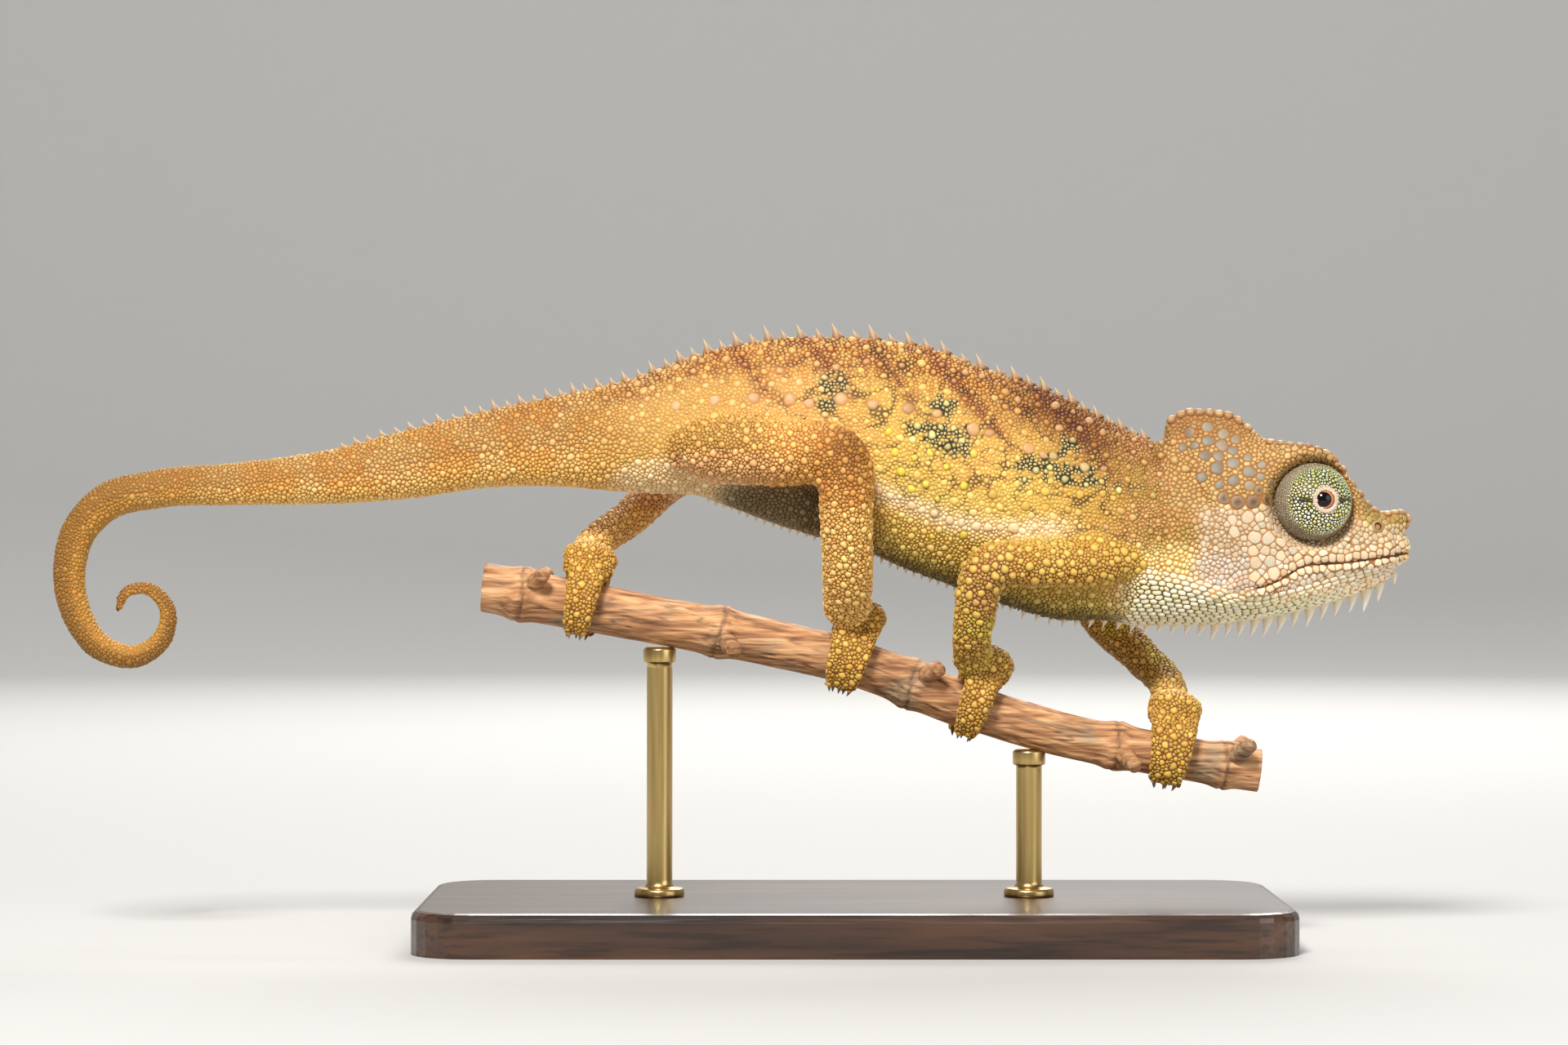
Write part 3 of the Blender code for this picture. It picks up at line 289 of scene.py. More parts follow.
def trunk_rings(lengths, sides):
    middle, dorsal, up, side = trunk_frame(lengths)
    turn = np.arange(sides) * 2 * np.pi / sides
    rise, reach = np.cos(turn), np.sin(turn)
    above = rise > 0
    lift = np.where(above, WIDEST + (1 - WIDEST) * np.abs(rise) ** (2 / KEEL), WIDEST + (1 + WIDEST) * rise)
    wide = np.where(above, np.sign(reach) * np.abs(reach) ** (2 / KEEL), reach)
    over = dorsal[:, None, :] * (up[:, None] * lift[None, :])[:, :, None]
    across = np.array([0.0, 1, 0]) * (side[:, None] * wide[None, :])[:, :, None]
    return middle[:, None, :] + over + across


def trunk_length_at(x):
    low, high = 0.0, TRUNK_PATH[CURL_POINT, 0]
    for _ in range(40):
        half = (low + high) / 2
        if curve(TRUNK_PATH, half, limited=False)[0, 0] > x:
            low = half
        else:
            high = half
    return low


def head_rings(stations, between):
    """Head sections with the rows of the construction joined by a smooth closed curve."""
    opening = np.clip((stations - MOUTH_CORNER_X) / MOUTH_FADE + 1, 0, 1)
    lip = curve(MOUTH_LINE, stations)
    half = [curve(line, stations) for line in (TOP_LINE, CREST_LINE, TEMPLE_LINE, EYE_LINE, CHEEK_LINE)]
    half.append(lip + np.column_stack([UPPER_LIP_OVERHANG * opening, np.full_like(opening, LIP_HEIGHT)]))
    half.append(lip - np.column_stack([MOUTH_DEPTH * opening, 0 * opening]))
    half.append(lip - np.column_stack([0 * opening, np.full_like(opening, LIP_HEIGHT)]))
    half += [curve(line, stations) for line in (JAW_LINE, THROAT_LINE, KEEL_LINE)]
    half = np.stack(half, axis=1)
    mirror = half[:, -2:0:-1] * [-1, 1]
    ring = np.concatenate([half, mirror], axis=1)
    before, after, later = np.roll(ring, 1, 1), np.roll(ring, -1, 1), np.roll(ring, -2, 1)
    parts = []
    for t in np.arange(between) / between:
        parts.append(
            0.5 * (2 * ring + (after - before) * t + (2 * before - 5 * ring + 4 * after - later) * t**2
                   + (3 * ring - before - 3 * after + later) * t**3)
        )
    ring = np.stack(parts, axis=2).reshape(len(stations), -1, 2)
    return np.concatenate([np.broadcast_to(stations[:, None, None], ring.shape[:2] + (1,)), ring], axis=2)


def circle(across, over, sides):
    """Spokes of a circle in the plane of two directions."""
    turn = np.arange(sides) * 2 * np.pi / sides
    return np.cos(turn)[:, None] * across + np.sin(turn)[:, None] * over


def tube_rings(rows, places, sides):
    """Rings round a path of (length, x, y, z, radius), turned as little as the path allows."""
    values = curve(rows, places, limited=False)
    ahead = curve(rows, places + BEND_REACH, limited=False)[:, :3]
    behind = curve(rows, places - BEND_REACH, limited=False)[:, :3]
    along = unit(ahead - behind)
    across = np.cross(along[0], [0.3, 0.2, 0.9])
    rings = []
    for middle, heading in zip(values, along):
        across = unit(across - heading * across.dot(heading))
        rings.append(middle[:3] + circle(across, np.cross(heading, across), sides) * middle[3])
    return np.array(rings)


def lofted(rings):
    """Points, quads and caps of a closed loft."""
    count, sides = rings.shape[:2]
    i, j = np.meshgrid(np.arange(count - 1), np.arange(sides), indexing="ij")
    low, right = i * sides + j, i * sides + (j + 1) % sides
    quads = np.stack([low, right, right + sides, low + sides], axis=-1).reshape(-1, 4)
    caps = [list(range(sides))[::-1], list(range((count - 1) * sides, count * sides))]
    return rings.reshape(-1, 3), quads.tolist() + caps


def twig_frame(x):
    z = curve(TWIG, x)[0, 0]
    rise = curve(TWIG, x + 0.5)[0, 0] - curve(TWIG, x - 0.5)[0, 0]
    along = unit(np.array([1, 0, rise]))
    return np.array([x, 0, z]), along, np.cross(along, [0.0, 1, 0])


def toe_path(middle, along, out, up, shift, radius):
    """A toe's middle line and radii from the palm round the twig."""
    rows = []
    for share in np.linspace(0, 1, 9):
        angle = TOE_TURN[0] + (TOE_TURN[1] - TOE_TURN[0]) * share
        thick = radius * (1 + (TOE_TIP_SHARE - 1) * share**2)
        away = TWIG_RADIUS + GAP + 0.1 + thick
        spoke = out * math.cos(angle) + up * math.sin(angle)
        place = middle + along * shift * (1 - 0.35 * share) + spoke * away
        rows.append((*place, thick))
    return measured(rows)


def toes(leg):
    """Every toe's path on one foot."""
    side, _, _, grip, outer = leg
    middle, along, up = twig_frame(grip)
    outward = np.array([0.0, side, 0])
    for out, count in ((outward, outer), (-outward, 5 - outer)):
        radius = TOE_RADIUS[count]
        for i in range(count):
            shift = (i - (count - 1) / 2) * radius * 1.62
            yield toe_path(middle, along, out, up, shift, radius)


def ball(centre, axes, sizes):
    """A closed ellipsoid mesh."""
    bm = bmesh.new()
    bmesh.ops.create_uvsphere(bm, u_segments=32, v_segments=20, radius=1.0)
    points = np.array([vert.co for vert in bm.verts]) * sizes @ np.array(axes) + centre
    faces = sorted([vert.index for vert in face.verts] for face in bm.faces)
    bm.free()
    return points, faces


def body_shapes():
    """The closed, overlapping shapes that the skin is made from, each with its part."""
    whole = TRUNK_PATH[-1, 0]
    rings = trunk_rings(np.arange(0, whole + 0.01, 0.5), 56)
    head_end = rings[0]
    into_head = np.array([head_end + [3.2, 0, 0.2] - (head_end - head_end.mean(0)) * [0, 0.12, 0.12]])
    tip = rings[-1].mean(0)
    ends = np.array([tip + (rings[-1] - tip) * size + (tip - rings[-8].mean(0)) * push
                     for size, push in ((0.9, 0.04), (0.6, 0.09), (0.2, 0.12))])
    yield TRUNK_PART, lofted(np.concatenate([into_head, rings, ends]))
    stations = np.concatenate([np.linspace(HEAD_BACK, 37.6, 8), np.arange(38.0, 64.2, 0.4),
                               np.linspace(64.3, HEAD_FRONT, 5)])
    yield HEAD_PART, lofted(head_rings(stations, 4))
    for name, leg in LEGS.items():
        side, points, radii, grip, _ = leg
        rows = measured([(*point, radius) for point, radius in zip(points, radii)])
        kind = FORE_PART if name.startswith("fore") else HIND_PART
        yield kind, lofted(tube_rings(rows, np.arange(0, rows[-1, 0], 0.6), 28))
        middle, along, up = twig_frame(grip)
        outward = np.array([0.0, side, 0])
        palm = middle + up * (TWIG_RADIUS + GAP + 0.1 + PALM_HALF_HEIGHT) + outward * 0.6
        yield FOOT_PART, ball(palm, (along, outward, up), (3.3, 3.0, PALM_HALF_HEIGHT))
        for path in toes(leg):
            yield FOOT_PART, lofted(tube_rings(path, np.linspace(0, path[-1, 0], 18), 16))
            yield FOOT_PART, ball(path[-1, 1:4], np.eye(3), path[-1, 4])


class Surface:
    """A mesh as arrays, in millimetres, with what the scales need to know of it."""

    def __init__(self, points, faces):
        self.points = points
        self.faces = faces
        self.triangles = np.array([(f[0], f[i], f[i + 1]) for f in faces for i in range(1, len(f) - 1)])
        edges = np.sort(np.concatenate([self.triangles[:, [0, 1]], self.triangles[:, [1, 2]],
                                        self.triangles[:, [2, 0]]]), axis=1)
        self.edges = np.unique(edges, axis=0)
        ends = np.concatenate([self.edges[:, 0], self.edges[:, 1]])
        self.degree = np.maximum(np.bincount(ends, minlength=len(points)), 1)[:, None]

    def blur(self, values, times, share=0.5, weight=1.0):
        """Values moved towards the mean of their neighbours."""
        values = values.astype(float)
        flat = values.ndim == 1
        values = values[:, None] if flat else values
        a, b = self.edges.T
        for _ in range(times):
            total = np.empty_like(values)
            for column in range(values.shape[1]):
                total[:, column] = np.bincount(a, values[b, column], len(values))
                total[:, column] += np.bincount(b, values[a, column], len(values))
            values = values + (total / self.degree - values) * share * weight
        return values[:, 0] if flat else values

    def corner_normals(self):
        a, b, c = (self.points[self.triangles[:, i]] for i in range(3))
        across = np.cross(b - a, c - a)
        normals = np.zeros_like(self.points)
        for i in range(3):
            for column in range(3):
                normals[:, column] += np.bincount(self.triangles[:, i], across[:, column], len(normals))
        return unit(normals)

    def finish(self):
        self.normals = self.corner_normals()
        self.tree = BVHTree.FromPolygons(self.points.tolist(), self.triangles.tolist())

    def nearest(self, points):
        """For each point its nearest place on the surface, the triangle there and its corner weights."""
        hits = [self.tree.find_nearest(point) for point in points.tolist()]
        places = np.array([hit[0] for hit in hits])
        index = np.array([hit[2] for hit in hits])
        a, b, c = (self.points[self.triangles[index, i]] for i in range(3))
        v0, v1, v2 = b - a, c - a, places - a
        d00, d01, d11 = (v0 * v0).sum(1), (v0 * v1).sum(1), (v1 * v1).sum(1)
        d20, d21 = (v2 * v0).sum(1), (v2 * v1).sum(1)
        scale = np.maximum(d00 * d11 - d01 * d01, 1e-12)
        v, w = (d11 * d20 - d01 * d21) / scale, (d00 * d21 - d01 * d20) / scale
        return places, index, np.column_stack([1 - v - w, v, w])

    def spread(self, values, index, weights):
        """Corner values carried to places on triangles."""
        values = values[:, None] if values.ndim == 1 else values
        return sum(values[self.triangles[index, i]] * weights[:, i : i + 1] for i in range(3))


def new_mesh(name, points, faces, scale=MM):
    mesh = bpy.data.meshes.new(name)
    mesh.from_pydata((np.asarray(points) * scale).tolist(), [], faces)
    mesh.update()
    return mesh


def new_object(name, mesh):
    obj = bpy.data.objects.new(name, mesh)
    bpy.context.scene.collection.objects.link(obj)
    mesh.shade_smooth()
    return obj


def paint(obj, colours):
    """Gives every corner of a mesh its own colour, which the materials read as hue."""
    layer = obj.data.color_attributes.new("hue", "FLOAT_COLOR", "POINT")
    layer.data.foreach_set("color", np.column_stack([colours, np.ones(len(colours))]).ravel())


def joined(shapes):
    """The points and faces of several shapes as one."""
    points, faces, start = [], [], 0
    for shape_points, shape_faces in shapes:
        points.append(shape_points)
        faces += [[corner + start for corner in face] for face in shape_faces]
        start += len(shape_points)
    return np.concatenate(points), faces


def gathered(name, shapes, colours=None):
    """Several shapes as one object, each with its own colours if given."""
    obj = new_object(name, new_mesh(name, *joined(shapes)))
    if colours is not None:
        paint(obj, np.concatenate(colours))
    return obj


def search_tree(points):
    """A tree that finds the nearest of the points."""
    tree = KDTree(len(points))
    for i, point in enumerate(points.tolist()):
        tree.insert(point, i)
    tree.balance()
    return tree


def fused(points, faces):
    """One surface round overlapping closed shapes, by a voxel remesh."""
    source = new_object("skin_source", new_mesh("skin_source", points, faces, scale=1.0))
    modifier = source.modifiers.new("fuse", "REMESH")
    modifier.mode = "VOXEL"
    modifier.voxel_size = VOXEL
    modifier.adaptivity = 0.0
    graph = bpy.context.evaluated_depsgraph_get()
    mesh = bpy.data.meshes.new_from_object(source.evaluated_get(graph))
    bpy.data.objects.remove(source)
    flat = np.empty(len(mesh.vertices) * 3)
    mesh.vertices.foreach_get("co", flat)
    surface = Surface(flat.reshape(-1, 3), [list(face.vertices) for face in mesh.polygons])
    bpy.data.meshes.remove(mesh)
    return surface


def skin_surface():
    """All the body's shapes fused and smoothed, with each corner's part."""
    parts, shapes = zip(*body_shapes())
    points, faces = joined(shapes)
    surface = fused(points, faces)
    tree = search_tree(points)
    owners = np.repeat(parts, [len(shape_points) for shape_points, _ in shapes])
    part = owners[[tree.find(point)[1] for point in surface.points.tolist()]]
    surface.shares = surface.blur(np.stack([part == i for i in range(5)], axis=1), 4)
    joint = 4 * surface.shares[:, TRUNK_PART] * (1 - surface.shares[:, TRUNK_PART])
    on_legs = surface.shares[:, FORE_PART] + surface.shares[:, HIND_PART]
    wide = np.clip(surface.blur(joint * (on_legs > 0.02), 14) * 4.0, 0, 1)[:, None]
    joint = np.clip(surface.blur(joint, 6) * 2.5, 0, 1)[:, None]
    surface.points = surface.blur(surface.points, 22, weight=joint)
    surface.points = surface.blur(surface.points, 30, weight=wide)
    for share in (0.6, -0.62) * 3:
        surface.points = surface.blur(surface.points, 1, share)
    surface.points = surface.blur(surface.points, 1, 0.5)
    return surface


def place_on_trunk(points):
    """Length along the trunk and height in its section, from -1 at the belly to 1 at the back."""
    lengths = np.arange(-6, TRUNK_PATH[-1, 0], 0.25)
    middle, dorsal, up, _ = trunk_frame(np.clip(lengths, 0, None))
    middle[:, 0] -= np.minimum(lengths, 0)
    tree = search_tree(middle * [1, 0, 1])
    upright = points[:, 0] > UPRIGHT_TO
    guess = np.interp(-points[:, 0], -middle[: np.argmin(middle[:, 0]), 0],
                      np.arange(np.argmin(middle[:, 0])))
    found = np.array([tree.find((x, 0, z))[1] for x, _, z in points.tolist()])
    index = np.where(upright, np.clip(guess.round().astype(int), 0, len(lengths) - 1), found)
    rise = ((points - middle[index]) * dorsal[index]).sum(1) / up[index]
    return lengths[index], rise


def eye_axis_distance(points):
    return np.hypot(points[:, 0] - EYE_CENTRE[0], points[:, 2] - EYE_CENTRE[2])


def mouth_gap(points):
    """Height over the mouth line, and how far it is open there."""
    line = curve(MOUTH_LINE, points[:, 0])
    return points[:, 2] - line[:, 1], smoothstep(MOUTH_CORNER_X - 0.6, MOUTH_CORNER_X + 0.8, points[:, 0])


def press_sockets(points, head):
    """Hollows under the eye turrets."""
    away = eye_axis_distance(points)
    y = points[:, 1]
    socket = np.where(away < TURRET_RADIUS, 3.3, 3.3 + (away - TURRET_RADIUS) * 1.9)
    depth = np.clip(np.abs(y) - socket, 0, None) * (away < 7.0) * (head > 0.5) * (np.abs(y) > 1.5)
    points[:, 1] -= np.sign(y) * depth


def face_lines(points, head):
    """The mouth's groove between two rolled lips and the casque's raised hind edge, under the scales."""
    x, _, z = points.T
    height, opening = mouth_gap(points)
    opening = opening * (head > 0.5)
    push = LIP_ROLL * opening * bell((np.abs(height) - 0.6) / 0.34)
    push -= MOUTH_GROOVE * opening * bell(height / 0.13)
    edge = x - curve(FINE_EDGE, z)[:, 0]
    border = head * smoothstep(47.5, 50.0, z) * smoothstep(61.0, 59.0, z) * (x < 46)
    push += border * (EDGE_ROLL * bell((edge - 0.5) / 0.45) - EDGE_GROOVE * bell((edge + 0.45) / 0.5))
    return push - UNDER_SCALES


def shape_snout(points, head):
    """The snout's end by its profile, and a dip over its bridge."""
    tip = smoothstep(62.2, 64.6, points[:, 0]) * (head > 0.5)
    profile = curve(SNOUT_PROFILE, points[:, 2])[:, 0]
    points[:, 0] += tip * (profile - 0.22 * np.clip(np.abs(points[:, 1]) - 0.6, 0, 3) ** 2)
    bridge = bell((points[:, 0] - 61.2) / 1.3) * (head > 0.5) * smoothstep(48.6, 49.6, points[:, 2])
    points[:, 2] -= BRIDGE_DIP * bridge


def folds(points, shares, rise):
    """Wavy wrinkles of the neck, the mouth's corner, the flanks, the legs and the near knee."""
    x, y, z = points.T
    head, trunk, hind = shares[:, HEAD_PART], shares[:, TRUNK_PART], shares[:, HIND_PART]
    legs = shares[:, FORE_PART] + hind
    wave = np.array([noise.noise(Vector(place)) for place in (points * [0.22, 0.22, 0.16]).tolist()])
    neck = smoothstep(28.0, 31.0, x) * (1 - smoothstep(35.8, 39.0, x)) * smoothstep(-0.9, -0.5, rise)
    yield neck * NECK_FOLD * np.sin(x * 4.4 + wave * 5.0 + z * 0.12) * (1 - legs)
    gape = smoothstep(35, 41, x) * (1 - smoothstep(45, 50, x)) * bell((z - 40.6) / 1.6) * (head > 0.5)
    yield gape * NECK_FOLD * np.sin((z - 0.45 * x) * 3.6 + wave * 3.0)
    flank = trunk * smoothstep(-21, -12, x) * (1 - smoothstep(24, 31, x))
    flank = flank * (1 - np.abs(np.clip(rise, -1, 1)))
    yield flank * FLANK_FOLD * np.sin(x * 1.5 + z * 0.7 + wave * 7.0)
    yield legs * LEG_FOLD * np.sin((x + z) * 3.4 + wave * 8.0)
    knee = bell((x + 5.0) / 3.0, (z - 52.6) / 2.6) * hind * (y < 0)
    yield knee * KNEE_FOLD * np.sin((0.75 * x + z) * 4.2 + wave * 3.0)


def sculpt(surface):
    """Eye sockets, mouth, snout and folds pressed into the skin along its normals."""
    points = surface.points
    normals = surface.corner_normals()
    head = surface.shares[:, HEAD_PART]
    _, rise = place_on_trunk(points)
    press_sockets(points, head)
    push = face_lines(points, head)
    shape_snout(points, head)
    for fold in folds(points, surface.shares, rise):
        push += fold
    surface.points = points + normals * push[:, None]
    surface.points = surface.blur(surface.points, 1, 0.35)
    surface.length, surface.rise = place_on_trunk(surface.points)


def srgb(red, green, blue):
    """A colour given as the eye sees it, 0 to 255, as the light value that shaders take."""
    values = np.array([red, green, blue]) / 255
    return np.where(values <= 0.04045, values / 12.92, ((values + 0.055) / 1.055) ** 2.4)


TAN, ORANGE, RUSSET = srgb(228, 184, 126), srgb(208, 150, 90), srgb(140, 86, 42)
OCHRE, YELLOW, BRIGHT_YELLOW = srgb(228, 188, 114), srgb(230, 200, 116), srgb(232, 208, 60)
PALE, PINKISH, BLACK = srgb(240, 216, 174), srgb(236, 204, 164), srgb(38, 32, 18)
GREY_PINK, GREENISH = srgb(205, 178, 148), srgb(196, 192, 118)
OLIVE, CREAM = srgb(150, 138, 70), srgb(244, 226, 188)


def mix(first, second, share):
    share = np.asarray(share)
    share = share[:, None] if share.ndim == 1 else share
    return first * (1 - share) + second * share


def field(points, size, seed, stretch=(1, 1, 1)):
    """Soft noise from 0 to 1 at points, in lumps of about a size in millimetres."""
    scaled = (points * stretch / size + seed * 17.3).tolist()
    return np.clip(np.array([noise.noise(Vector(p)) for p in scaled]) * 0.9 + 0.5, 0, 1)


def spot(points, x, z, wide, high):
    """1 inside an ellipse on the flanks and 0 outside, softly."""
    away = np.hypot((points[:, 0] - x) / wide, (points[:, 2] - z) / high)
    return 1 - smoothstep(0.75, 1.15, away)


# Black flank marks: x, z, half width, half height.
BLACK_MARKS = [
    (-2.3, 64.3, 1.6, 1.2), (-3.3, 62.0, 0.9, 0.9), (10.8, 62.1, 1.5, 1.3), (8.2, 59.2, 2.4, 0.9),
    (11.0, 58.2, 2.6, 1.5), (12.6, 56.8, 1.4, 1.0), (24.8, 57.2, 1.1, 1.6), (21.0, 55.2, 2.3, 1.0),
    (24.6, 54.2, 3.2, 1.2), (27.4, 53.2, 1.6, 0.7), (31.5, 52.7, 3.4, 0.35), (19.4, 53.2, 1.0, 0.8),
]
STREAK_PLACES = [2.4, 15.6, 24.8, 8.8, 32.0, -7.0]  # x of the crest's russet streaks at their height
STREAK_HEIGHT, STREAK_WIDTH = 60.0, 1.25
STREAK_SLOPE = 0.8  # how far a streak moves forwards as it comes down
STRIPE_WIDTH = 1.35


class Coat:
    """Colours of the scales and of the skin between them, laid on layer by layer at any places."""

    def __init__(self, points, part, legs, length, rise):
        self.points, self.length, self.rise = points, length, rise
        self.x, self.y, self.z = points.T
        self.fore, self.hind, self.foot = legs.T
        self.trunk, self.head, self.front_end = part == TRUNK_PART, part == HEAD_PART, part <= HEAD_PART
        self.lumps, self.fine = field(points, 3.2, 1), field(points, 1.1, 2)
        self.back, self.low = smoothstep(0.35, 0.85, rise), smoothstep(0.1, -0.45, rise)
        self.belly = smoothstep(-0.6, -0.92, rise)
        self.front = smoothstep(-6, 6, self.x)
        self.near_side = smoothstep(1.5, -1.5, self.y)
        self.scale = np.tile(TAN, (len(points), 1))
        self.skin = np.tile(srgb(176, 118, 58), (len(points), 1))

    def lay(self, share, scale=None, skin=None):
        """Lays a colour, each given with its strength, over the scales, the skin between them, or both."""
        if scale:
            self.scale = mix(self.scale, scale[0], share * scale[1])
        if skin:
            self.skin = mix(self.skin, skin[0], share * skin[1])

    def ground(self):
        """Tan behind and yellow in front, greyer on the back and olive on the belly."""
        warm = mix(OCHRE, YELLOW, np.clip(field(self.points, 9.0, 3) * 1.2, 0, 1))
        low_front, belly_front = self.low * self.front, self.belly * self.front
        self.lay(self.front, (warm, 1))
        self.lay(self.back, (mix(ORANGE, GREY_PINK, self.fine), 0.62), (RUSSET, 0.75))
        self.lay(low_front, (YELLOW, 0.7))
        self.lay(low_front * smoothstep(0.45, 0.8, self.lumps), (GREENISH, 0.4))
        self.lay(self.low, skin=(srgb(190, 150, 70), 0.7))
        self.lay(belly_front, (mix(OLIVE, CREAM, self.fine), 0.6), (srgb(96, 82, 42), 0.8))
        flank = smoothstep(-0.6, -0.3, self.rise) * smoothstep(0.8, 0.5, self.rise)
        flank = flank * smoothstep(-30, -20, self.x)
        self.lay(flank, skin=(self.scale * [0.92, 0.86, 0.76], 0.6))

    def streaks(self):
        """Russet streaks that come off the crest, and dark cracks between the flanks' scales."""
        run = self.x + (self.z - STREAK_HEIGHT) * STREAK_SLOPE
        ragged = field(self.points, 0.9, 5, (1.6, 1, 0.6))
        lines = 0.5 + 0.5 * np.cos(run * 6.6 + 4.0 * self.lumps)
        streak = np.max([bell((run - place) / STREAK_WIDTH) for place in STREAK_PLACES], axis=0)
        streak = streak * smoothstep(0.2, 0.5, self.rise) * smoothstep(0.16, 0.34, ragged)
        streak = streak * (0.6 + 0.4 * lines)
        crest = smoothstep(0.46, 0.66, ragged) * self.back * 0.6 * (self.x > -45)
        self.streak = np.maximum(streak, crest) * self.trunk
        self.lay(self.streak, (srgb(184, 92, 48), 0.6), (srgb(96, 26, 8), 1))
        crack = 1 - smoothstep(0.04, 0.1, np.abs(field(self.points, 2.2, 11, (0.8, 1, 1.1)) - 0.5))
        self.crack = crack * smoothstep(-16, -4, self.x) * self.trunk * smoothstep(-0.7, -0.3, self.rise)
        self.lay(self.crack, skin=(srgb(66, 44, 22), 0.85))

    def pale_places(self):
        """The pale stripe low on the flank, the pale vent, and painted shade on the groin under the near
        thigh.
        """
        over_stripe = self.z - curve(FLANK_STRIPE, self.x)[:, 0]
        self.stripe = bell(over_stripe / STRIPE_WIDTH) * smoothstep(0, 3, self.x)
        self.stripe = self.stripe * (1 - smoothstep(22, 28, self.x))
        self.lay(self.stripe, (srgb(240, 222, 182), 0.8), (srgb(206, 172, 112), 0.6))
        self.vent = spot(self.points, -20.0, 53.0, 9.0, 3.2)
        self.lay(self.vent, (PALE, 0.75), (srgb(206, 160, 104), 0.6))
        # Painted shade under the thigh: the groin's scales and skin are darkened, most on the near side.
        groin = smoothstep(-18, -14, self.x) * smoothstep(-1, -4, self.x) * smoothstep(53.5, 51.5, self.z)
        groin = groin * (0.35 + 0.65 * self.near_side)
        self.lay(groin, (srgb(190, 172, 134), 0.85), (srgb(96, 78, 50), 0.85))

    def tail_bands(self):
        """Grey-pink bands on the tan tail, paler below and darker towards its tip."""
        self.tail = smoothstep(-24, -34, self.x) * self.trunk
        bands = 0.5 + 0.5 * np.sin(self.length * 0.62 + 3.0 * self.lumps)
        share = smoothstep(0.35, 0.85, bands * 0.7 + self.fine * 0.4)
        colour = mix(srgb(214, 158, 92), srgb(216, 178, 132), share)
        colour = mix(colour, srgb(232, 190, 122), smoothstep(-0.3, -0.8, self.rise) * 0.7)
        colour = mix(colour, srgb(164, 121, 48), smoothstep(100, 128, self.length))
        self.lay(self.tail, (colour, 1), (srgb(160, 100, 46), 0.85))

    def black_marks(self):
        """Black skin with ragged edges at the flank's marks."""
        black = np.zeros(len(self.points))
        for x, z, wide, high in BLACK_MARKS:
            away = np.hypot((self.x - x) / wide, (self.z - z) / high)
            black = np.maximum(black, 1 - smoothstep(0.2, 1.75, away))
        ragged = black + 1.2 * (field(self.points, 0.8, 7) - 0.5)
        self.black = smoothstep(0.36, 0.8, ragged) * self.trunk * (black > 0)
        self.lay(self.black, skin=(BLACK, 1))

    def neck_and_throat(self):
        """A mottled pinkish neck, cream below, and a cream throat over dark skin."""
        neck = smoothstep(27, 34, self.x) * self.front_end * (1 - smoothstep(40, 44, self.x))
        mottled = mix(PINKISH, srgb(206, 192, 122), smoothstep(0.4, 0.7, self.lumps))
        self.lay(neck, (mottled, 0.75), (srgb(188, 120, 62), 0.6))
        self.lay(neck * smoothstep(49, 44, self.z), (CREAM, 0.5))
        self.upper_neck = neck * smoothstep(44, 47, self.z)
        under = curve(THROAT_TOP, self.x)[:, 0] - self.z
        self.throat = smoothstep(29, 34, self.x) * smoothstep(-0.6, 0.8, under) * self.front_end
        self.lay(self.throat, (mix(CREAM, srgb(226, 218, 160), self.lumps), 0.92))
        self.lay(self.throat * smoothstep(0.2, 2.2, under), skin=(srgb(62, 60, 32), 0.9))

    def head_colours(self):
        """Brown casque and brow, olive snout, pale cheek and lips, and the dark line of the mouth."""
        x, z = self.x, self.z
        self.upper = smoothstep(49.8, 51.4, z + 2.5 * smoothstep(56, 60, x)) * self.head
        casque = mix(srgb(206, 164, 112), srgb(176, 128, 78), smoothstep(57.0, 59.5, z))
        snout = smoothstep(57.5, 60.0, x) * smoothstep(45.8, 47.0, z)
        casque = mix(casque, mix(srgb(168, 130, 80), srgb(184, 164, 98), self.lumps), snout)
        self.lay(self.upper, (casque, 1), (srgb(156, 92, 42), 0.9))
        self.cheek = self.head * (1 - self.upper) * smoothstep(38, 41, x) * smoothstep(39.0, 41.0, z)
        pale = mix(srgb(232, 200, 158), srgb(244, 226, 200), self.fine)
        self.lay(self.cheek, (pale, 1), (srgb(200, 140, 84), 0.9))
        over_mouth, _ = mouth_gap(self.points)
        self.lips = bell(over_mouth / 1.5) * self.head * smoothstep(46, 48, x)
        lip = mix(srgb(246, 226, 190), srgb(232, 186, 124), smoothstep(0.5, 0.85, self.fine))
        self.lay(self.lips, (lip, 0.85), (srgb(140, 84, 44), 0.7))
        slit = bell(over_mouth / 0.2) * self.head * smoothstep(45.6, 46.6, x)
        self.lay(slit, skin=(srgb(70, 38, 24), 1))

    def leg_colours(self):
        """Tan legs: the near thigh's front darker, the lower arms pinker."""
        inner = smoothstep(-9, -1.5, self.x) * (self.z > 50) * (self.y < 0)
        thigh = mix(srgb(224, 172, 104), srgb(190, 130, 60), inner)
        thigh = mix(thigh, srgb(214, 164, 100), smoothstep(0.3, 0.8, self.fine))
        arm = mix(srgb(214, 168, 82), srgb(210, 158, 106), smoothstep(42, 38.5, self.z))
        arm = mix(arm, srgb(226, 190, 112), smoothstep(0.5, 0.85, self.lumps))
        foot = mix(srgb(204, 154, 80), srgb(222, 184, 118), self.fine)
        self.lay(self.hind, (thigh, 0.9), (srgb(138, 78, 34), 0.9))
        self.lay(self.fore, (arm, 0.9), (srgb(126, 66, 26), 0.9))
        self.lay(self.foot, (foot, 0.9), (srgb(124, 72, 28), 0.9))

